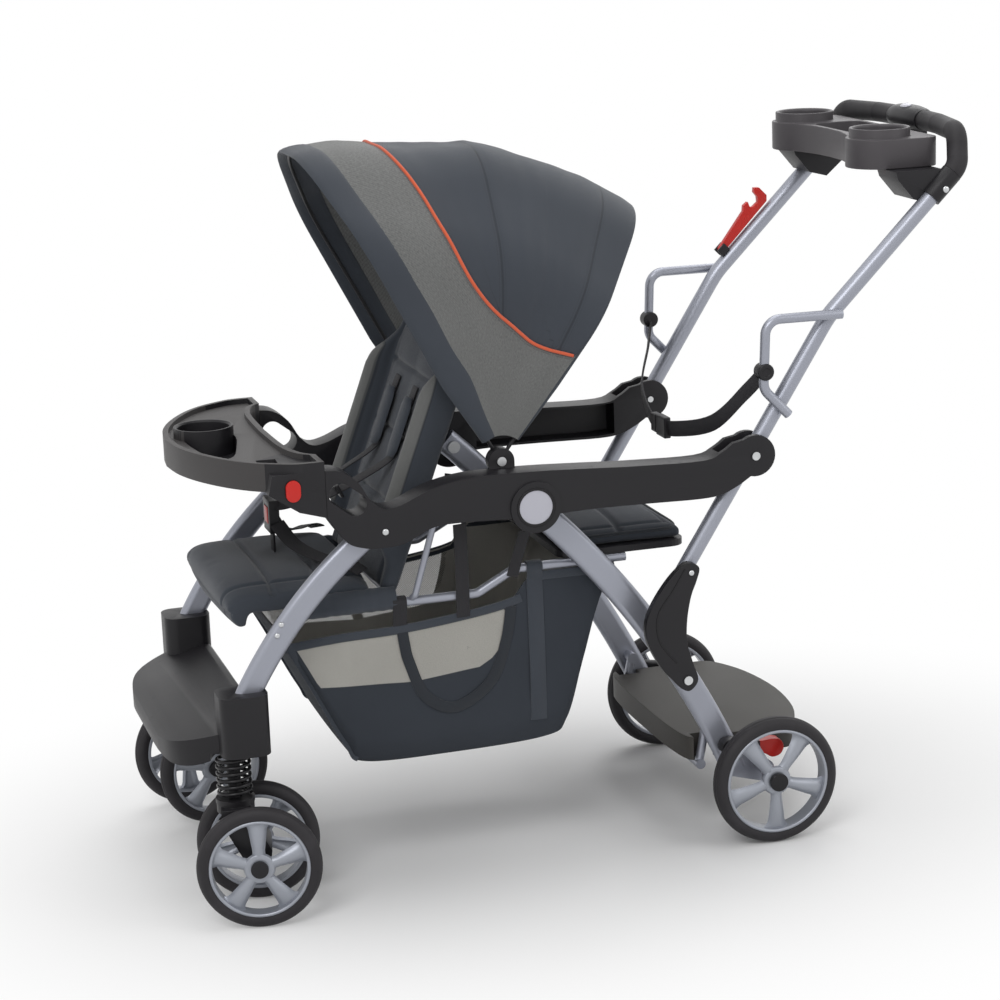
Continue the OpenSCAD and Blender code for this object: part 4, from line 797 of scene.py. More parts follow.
MOULDINGS = (
    ("side_arm_l", "arm_left", 0.0040, "black_plastic", "frame"),
    ("side_arm_r", "arm_right", 0.0040, "black_plastic", "frame"),
    ("front_footrest", "footrest", 0.0060, "black_plastic", "frame"),
    ("caster_fork_l", "fork_left", 0.0025, "black_plastic", "caster_left"),
    ("caster_fork_r", "fork_right", 0.0025, "black_plastic", "caster_right"),
    ("handle_brackets", "brackets", 0.0020, "black_plastic", "handle"),
    ("release_module", "release_block", 0.0040, "black_plastic", "handle"),
    ("fold_trigger", "trigger_bar", 0.0020, "black_plastic", "trigger"),
    ("fold_latch", "latch", 0.0012, "red_plastic", "latch"),
    ("link_cover_l", "link_left", 0.0020, "black_plastic", "link_left"),
    ("link_cover_r", "link_right", 0.0020, "black_plastic", "link_right"),
    ("brake_lever_l", "brake_left", 0.0020, "black_plastic", "brake_left"),
    ("brake_lever_r", "brake_right", 0.0020, "black_plastic", "brake_right"),
    ("axle_caps", "rear_caps", 0.0012, "gloss_black", "rear_legs"),
    ("rear_platform", "board", 0.0030, "board_plastic", "rear_legs"),
    ("child_tray", "tray", 0.0046, "tray_plastic", "tray"),
    ("parent_tray", "cup_tray", 0.0016, "cup_plastic", "handle"),
    ("tray_button_l", "tray_key_left", 0.0010, "red_plastic", "tray_button_left"),
    ("tray_button_r", "tray_key_right", 0.0010, "red_plastic", "tray_button_right"),
    ("buckle", "crotch_buckle", 0.0030, "black_plastic", "frame"),
    ("buckle_button", "crotch_key", 0.0010, "red_plastic", "buckle_key"),
    ("handlebar", "grip", 0.0020, "foam_grip", "handle"),
)
BRAKE_KNOB_X = 0.272
TRAY_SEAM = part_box("child_tray")[1][0]
TRAY_ARM_LENGTH, TRAY_ARM_INNER = 0.084, 0.195
TRAY_LIP_Z, TRAY_FLOOR_Z, TRAY_WELL_WIDTH = 0.6848, 0.6745, 0.26
LYING, STANDING_OFF = 0.5, 0.0005


def cut_across(obj, x):
    """Splits the faces that cross a plane square to X, so that each side can have its own finish."""
    mesh = bmesh.new()
    mesh.from_mesh(obj.data)
    bmesh.ops.bisect_plane(mesh, geom=mesh.verts[:] + mesh.edges[:] + mesh.faces[:], plane_co=(x, 0, 0),
        plane_no=(1, 0, 0))
    mesh.to_mesh(obj.data)
    mesh.free()


def paint_faces(obj, material, test):
    """Gives the faces that pass a test another finish."""
    chosen = [test(f) for f in obj.data.polygons]
    obj.data.materials.append(finish(material))
    for f, yes in zip(obj.data.polygons, chosen):
        if yes:
            f.material_index = len(obj.data.materials) - 1


@building_step("Mouldings")
def mouldings():
    """Plastic mouldings with their edges rounded"""
    made = {}
    for node, name, width, material, body in MOULDINGS:
        made[name] = dress(rounded_copy(node, name, width), material, body, node)
    for name in ("brake_left", "brake_right"):
        cut_across(made[name], BRAKE_KNOB_X)
        paint_faces(made[name], "red_plastic", lambda f: f.center.x > BRAKE_KNOB_X)
    tray = made["tray"]

    def in_the_well(f):
        if f.center.x > TRAY_SEAM - TRAY_ARM_LENGTH and abs(f.center.y) > TRAY_ARM_INNER:
            return True
        if f.center.z > TRAY_LIP_Z or (f.center.z < TRAY_FLOOR_Z and f.normal.z > LYING):
            return True
        if f.center.z < TRAY_FLOOR_Z + STANDING_OFF and abs(f.normal.z) < LYING:
            return tray.ray_cast(f.center + f.normal * STANDING_OFF, f.normal, distance=TRAY_WELL_WIDTH)[0]
        return False

    paint_faces(tray, "black_plastic", in_the_well)


# Wheels and springs

WHEELS = {"rear": (0.102, 0.030), "front": (0.093, 0.026)}
WHEEL_BORE = 0.0060
REAR_AXLE_X, REAR_WHEEL_Y = 0.288, 0.253
CASTER_TURN, CASTER_TRAIL, CASTER_HALF = math.radians(11), 0.030, 0.058


def wheel_places():
    """Every wheel: its rim and tyre nodes, its body and the matrix that stands it there."""
    turn = Matrix.Rotation(math.radians(-90), 4, "X")
    out = []
    for sign, side, word in SIDES:
        m = Matrix.Translation((REAR_AXLE_X, REAR_WHEEL_Y, WHEELS["rear"][0])) @ turn
        out.append(
            ("rear", "rear_rim_" + side, "rear_tyre_" + side, "rear_wheel_" + word,
                MIRROR @ m if sign == LEFT else m))
        for where, outside in (("outer", 1), ("inner", -1)):
            flip = sign * outside
            m = (Matrix.Translation((CASTER_X, sign * CASTER_Y, 0))
                @ Matrix.Rotation(CASTER_TURN * sign, 4, "Z")
                @ Matrix.Translation((CASTER_TRAIL, flip * CASTER_HALF, WHEELS["front"][0]))
                @ Matrix.Rotation(math.radians(-90 * flip), 4, "X"))
            out.append(
                ("front", f"front_rim_{side}_{where}", f"front_tyre_{side}_{where}",
                    f"front_wheel_{word}_{where}", m))
    return out


def spoke(name, inner, outer, low, high):
    """One bowed blade from the hub to the rim: crowned across, narrow at the hub and flared at the rim."""
    deselect()
    bpy.ops.mesh.primitive_grid_add(x_subdivisions=14, y_subdivisions=10, size=2)
    obj = named(name)
    for point in obj.data.vertices:
        t, u = (point.co.x + 1) / 2, point.co.y
        r = inner + (outer - inner) * t
        flare, root = max(0.0, (t - 0.78) / 0.22), max(0.0, (0.22 - t) / 0.22)
        half = 0.0080 + 0.0076 * t + 0.0060 * flare ** 2 + 0.0040 * root ** 2
        angle = u * half / r
        z = high + (low - high) * t + 0.0022 * math.sin(math.pi * t) - 0.0072 * abs(u) ** 2.2
        point.co = (r * math.cos(angle), r * math.sin(angle), z)
    walled(obj, 0.0050)
    apply_all(obj)
    return obj


def rim_shape(name, tyre_r, w, bore):
    """A five-spoke rim with its outer face up."""
    r = tyre_r - 0.017
    h = w / 2
    barrel = lathe(name + ".barrel",
        rounded_ring(
            [(r - 0.0062, -h + 0.001), (r - 0.001, -h + 0.001), (r - 0.001, -h + 0.004),
                (r - 0.0034, -h + 0.007), (r - 0.0034, h - 0.007), (r - 0.001, h - 0.004),
                (r - 0.001, h - 0.001), (r - 0.0036, h + 0.0002), (r - 0.0062, h - 0.0014)], 0.0012), 96)
    boss = lathe(name + ".boss",
        rounded_ring(
            [(bore, -h), (0.0165, -h), (0.0185, h - 0.014), (0.0240, h - 0.0085), (0.0215, h - 0.0038),
                (0.0160, h - 0.0030), (bore, h - 0.0030)], 0.0012), 64)
    blade = spoke(name + ".blade", 0.0180, r - 0.0040, h - 0.0068, h - 0.0036)
    blades = [copy_of(blade, name + ".blade", Matrix.Rotation(math.radians(90 + 72 * k), 4, "Z"))
        for k in range(5)]
    bpy.data.objects.remove(blade)
    obj = joined(name, barrel, boss, *blades)
    return smooth(obj, 38)


def tyre_shape(name, tyre_r, w):
    """A tyre with a rounded tread, two rain grooves and a bead lip."""
    r = tyre_r - 0.0178
    h = w / 2
    crown = []
    for i in range(41):
        a = math.radians(-90 + 180 * i / 40)
        x = math.sin(a)
        z = h * (abs(x) ** 0.82) * (1 if x > 0 else -1)
        out = tyre_r - 0.0115 * (1 - math.cos(a)) ** 0.9
        for g in (-0.30, 0.30):
            out -= 0.0012 * math.exp(-((z / h - g) / 0.07) ** 2)
        crown.append((out, z))
    profile = [(r, -h + 0.0045), (r, -h + 0.0012), (r + 0.0030, -h + 0.0002)] + crown + [
        (r + 0.0030, h - 0.0002), (r, h - 0.0012), (r, h - 0.0045), (r - 0.0016, h - 0.007),
        (r - 0.0016, -h + 0.007)]
    obj = lathe(name, profile, 112)
    return smooth(obj, 50)


@building_step("Wheels")
def wheels():
    """Five-spoke rims and treaded tyres"""
    shapes = {}
    for kind, (r, w) in WHEELS.items():
        shapes[kind] = rim_shape(kind + "_rim", r, w, WHEEL_BORE), tyre_shape(kind + "_tyre", r, w)
    for kind, rim, tyre, body, place in wheel_places():
        dress(copy_of(shapes[kind][0], "rim_of_" + body, place), "rim_paint", body, rim)
        dress(copy_of(shapes[kind][1], "tyre_of_" + body, place), "tyre_rubber", body, tyre)
    for pair in shapes.values():
        for obj in pair:
            bpy.data.objects.remove(obj)


@building_step("Springs")
def springs():
    """Coil springs over the front stems"""
    low, high, r, wire, turns, travel = 0.1883, 0.2487, 0.024, 0.0058, 6, 0.0125
    for sign, side, word in SIDES:
        path = []
        for k in range(24 * turns + 1):
            t = k / 24
            a = 2 * math.pi * t
            path.append(Vector((CASTER_X + r * math.cos(a), sign * CASTER_Y + r * math.sin(a),
                                low + (high - low) * t / turns)))
        coil = swept("coil_" + side, path, ring(wire, 10), lambda i: Vector((0, 0, 1)))
        dress(smooth(coil, 50), "gloss_black", "frame", "spring_" + side, slot="steel")
        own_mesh(coil)


# Canopy

CANOPY_REAR, CANOPY_TOP, CANOPY_FRONT = 53.0, 86.0, 118.0
CANOPY_MIDDLE = Vector((-0.15, 0, 0.75))
CANOPY_SEAMS = (87.4, 59.6)
PIPING_LIFT = 0.0034


def clamp(t):
    return min(1.0, max(0.0, t))


def canopy_reach(a):
    """Reach of the cloth from the hinge at an angle, hollow between the bows."""
    a = min(CANOPY_FRONT, max(CANOPY_REAR, a))
    if a > CANOPY_TOP:
        t = (a - CANOPY_TOP) / (CANOPY_FRONT - CANOPY_TOP)
        return 0.451 + 0.065 * t ** 1.6 - 0.009 * math.sin(math.pi * clamp(t * 1.25))
    t = (CANOPY_TOP - a) / (CANOPY_TOP - CANOPY_REAR)
    return 0.451 - 0.011 * t - 0.009 * math.sin(math.pi * t)


def arch_outline(a, count=49, lift=0.0):
    """Half of the canopy's arch at an angle, top to foot, as (across, reach) points evenly apart."""
    r, half, bend, foot = canopy_reach(a) + lift, 0.218 + lift, 0.140 + lift, 0.040
    part = 0.60 + 0.14 * clamp((a - CANOPY_REAR) / (CANOPY_FRONT - CANOPY_REAR))
    corners = [Vector((0, r)), Vector((0.42 * half, r)), Vector((half, part * r)), Vector((half, foot))]
    line = [corners[0]]
    for p, q, s in zip(corners, corners[1:], corners[2:]):
        w0, w1 = (q - p).normalized(), (s - q).normalized()
        turn = math.acos(w0.dot(w1)) / 2
        e = (w0 - w1).normalized()
        centre, f = q - e * bend / math.cos(turn), (w1 + w0).normalized()
        line += [centre + bend * (math.cos(turn * j / 8) * e + math.sin(turn * j / 8) * f)
            for j in range(-8, 9)]
    line.append(corners[-1])
    run = [0.0]
    for p, q in zip(line, line[1:]):
        run.append(run[-1] + (q - p).length)
    out, k = [], 0
    for i in range(count):
        want = run[-1] * i / (count - 1)
        while k < len(run) - 2 and run[k + 1] < want:
            k += 1
        out.append(line[k].lerp(line[k + 1], clamp((want - run[k]) / (run[k + 1] - run[k]))))
    return out


def on_arch(a, q, side=1):
    a = math.radians(a)
    return CANOPY_HINGE + Vector((q.y * math.cos(a), side * q.x, q.y * math.sin(a)))


def slackened(p, a, y, reach):
    """A point of the canopy moved by the slack that the cloth has between its bows."""
    slack = clamp((CANOPY_FRONT - a) / 8) * clamp((a - CANOPY_REAR) / 8) * clamp((reach - 0.05) / 0.1)
    out = Vector((0.4 * (p.x - CANOPY_HINGE.x), 2.4 * y * abs(y) / 0.2, p.z - 0.62)).normalized()
    slow = noise.noise(Vector((a * 0.10, y * 7, reach * 9))) * 0.0024
    quick = noise.noise(Vector((a * 0.32, y * 13, 4 + reach * 6))) * 0.0011
    return p + out * (slow + quick) * slack


def arch_spot(a, f, lift=0.0):
    """Point of the canopy at an angle and a share of the way from top to foot, negative on the left side."""
    line = arch_outline(a, 97, lift)
    k = min(95, int(abs(f) * 96))
    side = 1 if f >= 0 else -1
    q = line[k].lerp(line[k + 1], abs(f) * 96 - k)
    return slackened(on_arch(a, q, side), a, side * q.x, q.y)


def share_at(a, reach):
    line = arch_outline(a, 97)
    for k in range(96):
        if line[k].y >= reach >= line[k + 1].y:
            return (k + (line[k].y - reach) / max(1e-9, line[k].y - line[k + 1].y)) / 96
    return 0.0


def piping_line():
    """The piping's run on one side as (angle, share) steps: over the top, then back to the rear bow."""
    read = [(103.9, 0.449), (102.4, 0.403), (100.9, 0.348), (97.4, 0.274), (89.4, 0.221), (76.0, 0.186),
        (64.0, 0.179), (52.2, 0.188)]
    marks = [(104.8, 0.0), (104.6, 0.10)] + [(a, share_at(a, r)) for a, r in read]
    return [(p.x, p.y) for p in smooth_curve([(a, f, 0) for a, f in marks], 8)]


def side_distance(x, z, line):
    """Signed distance in side view from a run of points: ahead of it and below it is positive."""
    best, sign = 1e9, 1
    for (ax, az), (bx, bz) in zip(line, line[1:]):
        dx, dz = bx - ax, bz - az
        t = clamp(((x - ax) * dx + (z - az) * dz) / (dx * dx + dz * dz + 1e-12))
        px, pz = x - ax - t * dx, z - az - t * dz
        d = math.hypot(px, pz)
        if d < best - 1e-9:
            best, sign = d, 1 if dx * (z - az) - dz * (x - ax) < 0 else -1
    return sign * best


@building_step("Canopy")
def canopy():
    """Canopy cloth with its front hem, rear binding and piping"""
    first, last, steps = 51.0, 118.8, 74
    rows, marks = [], []
    trail = [arch_spot(a, f) for a, f in piping_line()]
    flat_trail = [(p.x, p.z) for p in trail]
    up = Vector(flat_trail[0]) - Vector((CANOPY_HINGE.x, CANOPY_HINGE.z))
    flat_trail.insert(0, tuple(Vector(flat_trail[0]) + up.normalized() * 0.2))
    flat_trail.append((flat_trail[-1][0] + 0.15, flat_trail[-1][1] + 0.06))
    for i in range(steps + 1):
        a = first + (last - first) * i / steps
        half = arch_outline(a)
        line = [(-q.x, q.y) for q in reversed(half[1:])] + [(q.x, q.y) for q in half]
        row = []
        for j, (y, reach) in enumerate(line):
            p = on_arch(a, Vector((y, reach)))
            row.append(slackened(p, a, y, reach))
            far = side_distance(p.x, p.z, flat_trail)
            seams = [reach * math.radians(a - at) for at in CANOPY_SEAMS]
            seam = min(seams, key=abs) if far < 0 else 0.02
            if abs(far) < abs(seam):
                seam = far
            marks.append((far, seam, reach if abs(seam) == abs(seams[0]) else j * 0.012))
        rows.append(row)
    cloth = grid_sheet("canopy_cloth", rows)
    for k, name in enumerate(("panel", "seam", "along")):
        mark_points(cloth, name, [m[k] for m in marks])
    outward(cloth)
    if cloth.data.polygons[len(cloth.data.polygons) // 2].normal.z < 0:
        cloth.data.flip_normals()
    walled(cloth, 0.0022)
    apply_all(cloth)
    dress(smooth(cloth, 60), "canopy_cloth", None, "canopy_fabric", slot="slate_cloth")

    def oval(a, across, high, name, material):
        half = arch_outline(a, 65)
        shares = [-(64 - k) / 64 for k in range(64)] + [k / 64 for k in range(65)]
        loop = []
        for f in shares:
            here, ahead = arch_spot(a, f), arch_spot(a + 0.5, f)
            beside = arch_spot(a, min(1, f + 0.01)) - arch_spot(a, max(-1, f - 0.01))
            t = (ahead - here).normalized()
            out = t.cross(beside).normalized()
            if out.dot(here - CANOPY_MIDDLE) < 0:
                out.negate()
            width = across * (0.50 + 0.50 * clamp((half[int(abs(f) * 64)].y - 0.04) / 0.10))
            loop.append(
                [here - out * 0.0011 + t * width * math.cos(b) + out * high * math.sin(b)
                    for b in around(14)])
        band = grid_sheet(name, loop, close_columns=True, caps=True)
        outward(band)
        return dress(smooth(band, 60), material, None, slot="slate_cloth")

    hem = oval(116.9, 0.0235, sizes().hem + 0.0022, "canopy_hem", "slate_sheet")
    rear = oval(52.0, 0.0085, 0.0026, "canopy_binding", "slate_sheet")
    right = piping_line()
    left = [(a, -f) for a, f in reversed(right[1:])]
    run = [arch_spot(a, f, PIPING_LIFT) for a, f in left + right]
    cord = swept("canopy_piping", run, ring(sizes().cord, 10), lambda i: run[i] - CANOPY_MIDDLE)
    dress(smooth(cord, 60), "piping_cloth", None, slot="slate_cloth")
    for piece in (cloth, hem, rear, cord):
        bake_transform(piece)


# Seats

PAD_VOXEL, PAD_PRESSURE, PAD_FRAMES = 0.005, 4.0, 20
RAIL_Y, RAIL_Z = 0.176, 0.437


def plump(obj, cap):
    """Swells a pad as stuffed cloth, with a cap on how far each point may move."""
    remesh = obj.modifiers.new("voxels", "REMESH")
    remesh.mode, remesh.voxel_size = "VOXEL", PAD_VOXEL
    apply_all(obj)
    start = [v.co.copy() for v in obj.data.vertices]
    cloth = obj.modifiers.new("swell", "CLOTH")
    cloth.settings.use_pressure = True
    cloth.settings.uniform_pressure_force = PAD_PRESSURE
    cloth.settings.effector_weights.gravity = 0
    cloth.settings.quality = 4
    cloth.point_cache.frame_start, cloth.point_cache.frame_end = 1, PAD_FRAMES
    scene = bpy.context.scene
    for f in range(1, PAD_FRAMES + 1):
        scene.frame_set(f)
    swollen = obj.evaluated_get(bpy.context.evaluated_depsgraph_get()).data
    moved = [v.co.copy() for v in swollen.vertices]
    obj.modifiers.remove(cloth)
    scene.frame_set(1)
    for v, a, b in zip(obj.data.vertices, start, moved):
        step = b - a
        v.co = a + step * min(1.0, cap / max(step.length, 1e-9))
    soften = obj.modifiers.new("soften", "SMOOTH")
    soften.factor, soften.iterations = 0.5, 4
    finer = obj.modifiers.new("finer", "SUBSURF")
    finer.levels = finer.render_levels = 1
    apply_all(obj)


def press_lines(obj, lines):
    """Sinks sewn channels: each line gives a distance to it, a width and a depth at a point."""
    mesh = obj.data
    normals = [v.normal.copy() for v in mesh.vertices]
    for v, n in zip(mesh.vertices, normals):
        sink = 0.0
        for distance, width, depth in lines:
            d = distance(v.co, n)
            if d is not None:
                sink = max(sink, depth * math.exp(-(d / width) ** 2))
        v.co -= n * sink


def cushion_section(v):
    """Section of the front seat's cushion with its calf panel, at a share across its width."""
    c = 1 - v ** 4
    low, x0, x1 = 0.4443, -0.5545 + 0.006 * (1 - c), -0.325
    top = low + 0.042 * (0.6 + 0.4 * c)
    pts = smooth_curve(
        [(x0 + 0.020, 0, low - 0.0235), (x0 + 0.010, 0, low - 0.012), (x0 + 0.001, 0, low + 0.008),
            (x0 + 0.008, 0, top - 0.010), (x0 + 0.030, 0, top - 0.002), (x0 + 0.080, 0, top),
            (x1 - 0.080, 0, top), (x1 - 0.012, 0, top - 0.003)], 4)
    pts += [Vector((x1, 0, top - 0.012)), Vector((x1, 0, low)), Vector((x0 + 0.036, 0, low)),
        Vector((x0 + 0.031, 0, low - 0.012)), Vector((x0 + 0.029, 0, low - 0.0235))]
    return pts


def closed_loft(name, rows):
    obj = grid_sheet(name, rows, close_columns=True, caps=True)
    outward(obj)
    return obj


@building_step("Front seat")
def seat():
    """Front seat cushion and back, with sewn channels and light wings"""
    rows = []
    for i in range(31):
        v = 2 * i / 30 - 1
        rows.append([Vector((p.x, v * 0.1715, p.z)) for p in cushion_section(v)])
    pad = closed_loft("seat_pad", rows)
    plump(pad, 0.0025)
    press_lines(pad, [
        (lambda p, n: p.x + 0.475 if n.z > 0.3 else None, 0.004, 0.0050),
        (lambda p, n: p.x + 0.400 if n.z > 0.3 else None, 0.004, 0.0050),
        (lambda p, n: abs(p.y) - 0.138 if n.z > 0.2 or n.x < -0.4 else None, 0.0032, 0.0035),
        (lambda p, n: p.z - 0.446 if n.x < -0.3 else None, 0.004, 0.0035)])
    dress(smooth(pad, 60), "slate_cloth", "frame", "seat_cushion", slot="slate_cloth")

    skirts = []
    for s in (LEFT, RIGHT):
        rows = []
        for i in range(29):
            x = -0.4400 + 0.1500 * i / 28
            crease = noise.noise(Vector((x * 55, s, 0))) * 0.0011
            ring_here = []
            for a in around(20):
                lean = max(0.0, math.cos(a - math.radians(104))) ** 5
                r = 0.0098 + 0.0005 * math.sin(i * 1.9) + (0.0165 + crease) * lean + crease * 0.5
                ring_here.append(Vector((x, s * (RAIL_Y + r * math.cos(a)), RAIL_Z + r * math.sin(a))))
            rows.append(ring_here)
        skirts.append(closed_loft("skirt", rows))
    skirt = joined("seat_skirt", *skirts)
    dress(smooth(skirt, 60), "slate_cloth", "frame", slot="slate_cloth")

    rows = []
    for i in range(45):
        h = 0.398 * i / 44 + 0.001
        t = h / 0.4
        rise = clamp((h - 0.030) / 0.060) * clamp((0.380 - h) / 0.080)
        wing = 0.031 + 0.034 * rise * rise * (3 - 2 * rise)
        w = 0.1705 * (1 - 0.10 * clamp((t - 0.7) / 0.3) ** 2)
        half = smooth_curve(
            [(-0.004, w - 0.010, 0), (-0.010, w, 0), (-wing + 0.008, w, 0), (-wing, w - 0.009, 0),
                (-wing + 0.005, w - 0.022, 0), (-0.028, w - 0.034, 0), (-0.031, w - 0.066, 0),
                (-0.034, w * 0.3, 0), (-0.031, 0, 0)], 3)
        ringed = half + [Vector((p.x, -p.y, 0)) for p in reversed(half[:-1])]
        rows.append([Vector((p.x, p.y, 0.0073 + h)) for p in ringed])
    back = closed_loft("seat_rest", rows)
    plump(back, 0.0022)
    channels = []
    for c in (0.30, 0.55, 0.80):
        channels.append(
            (lambda p, n, z=0.0073 + 0.4 * c: p.z - z if n.x < -0.5 and abs(p.y) < 0.135 else None, 0.0045,
                0.0055))
    channels.append((lambda p, n: abs(p.y) - 0.136 if n.x < -0.1 else None, 0.0040, 0.0045))
    press_lines(back, channels)
    back.data.transform(SEAT_PLACE)
    dress(smooth(back, 60), "seat_cloth", "seat_back", "seat_back", slot="slate_cloth")
    level_up = SEAT_PLACE.inverted()
    edge = []
    for v in back.data.vertices:
        p = level_up @ v.co
        edge.append(min(abs(p.y) - 0.1455, -0.0475 - p.x, p.z - 0.075, 0.375 - p.z))
    mark_points(back, "edge", edge)


@building_step("Rear bench")
def bench():
    """Rear bench pad with a sewn channel and a welt"""
    low, mid, l, w = 0.4868, 0.073, 0.199, 0.342
    rows = []
    n, m = 30, 36

    def outline(u, v, z):
        return Vector((mid + u * (l / 2 - 0.005 * (1 - v * v)), v * (w / 2 - 0.005 * (1 - u * u)), z))

    def crowned(u, v):
        return outline(u, v, low + (0.017 + 0.014 * (1 - u ** 4) * (1 - v ** 4)))

    for i in range(n + 1):
        u = 2 * i / n - 1
        rows.append([crowned(u, 2 * j / m - 1) for j in range(m + 1)]
            + [outline(u, 1 - 2 * j / m, low) for j in range(m + 1)])
    pad = closed_loft("bench_cushion", rows)
    plump(pad, 0.0025)

    def border(p, n):
        return max(abs(p.x - mid) - 0.078, abs(p.y) - 0.148) if n.z > 0.3 else None

    press_lines(pad, [
        (lambda p, n: p.x - mid if n.z > 0.3 else None, 0.005, 0.0055),
        (border, 0.0032, 0.0028)])
    dress(smooth(pad, 60), "slate_cloth", "frame", "bench_pad", slot="slate_cloth")
    loop = []
    for a in around(120):
        c, s = math.cos(a), math.sin(a)
        u, v = abs(c) ** 0.25 * (1 if c > 0 else -1), abs(s) ** 0.25 * (1 if s > 0 else -1)
        loop.append(outline(u, v, low + 0.016))
    welt = swept("bench_welt", loop, ring(sizes().welt, 8), lambda i: Vector((0, 0, 1)), closed=True)
    dress(smooth(welt, 60), "dark_sheet", "frame", slot="slate_cloth")


# Basket

def level(line, x):
    """Height of a run of (x, z) points at x."""
    for (ax, az), (bx, bz) in zip(line, line[1:]):
        if ax <= x <= bx:
            return az + (bz - az) * (x - ax) / (bx - ax)
    return line[0][1] if x < line[0][0] else line[-1][1]


BASKET_HALF = 0.1795
BASKET_MIDDLE = Vector((-0.20, 0, 0.33))
BASKET_KEEL = [(p.x, p.z) for p in smooth_curve([
    (-0.4615, 0, 0.3900), (-0.424, 0, 0.318), (-0.374, 0, 0.218), (-0.346, 0, 0.1895), (-0.220, 0, 0.1855),
    (-0.060, 0, 0.1915), (-0.022, 0, 0.217), (0.006, 0, 0.305), (0.026, 0, 0.377), (0.0555, 0, 0.4613)], 9)]
BASKET_BAND = [(-0.4615, 0.3905), (-0.379, 0.3970), (-0.286, 0.3995), (-0.191, 0.4085), (-0.127, 0.4180),
               (-0.094, 0.4270), (-0.084, 0.4605), (0.0555, 0.4613)]
NET_FOOT = [(-0.470, 0.3220), (-0.417, 0.3197), (-0.271, 0.3120), (-0.155, 0.3229), (-0.1215, 0.3587),
    (-0.108, 0.4110), (-0.100, 0.4400), (0.060, 0.5000)]
BASKET_LOOP = [(-0.284, 0.402), (-0.281, 0.372), (-0.275, 0.342), (-0.252, 0.287), (-0.205, 0.264),
    (-0.148, 0.298), (-0.1215, 0.359), (-0.111, 0.412)]


def basket_side(x, z, s, proud=0.0):
    """Point of the basket's side wall: tucked in at its foot and bulging between."""
    top = level(BASKET_BAND, x)
    deep = max(top - level(BASKET_KEEL, x), 0.0001)
    h = clamp((top - z) / deep)
    tuck = 0.016 * clamp((h - 0.80) / 0.20) ** 2 * clamp(deep / 0.06)
    swell = 0.004 * clamp(deep / 0.10) + 0.0026 * noise.noise(Vector((x * 16, s * 3, z * 14)))
    return Vector((x, s * (BASKET_HALF - 0.001 - tuck + swell * math.sin(math.pi * h) + proud), z))


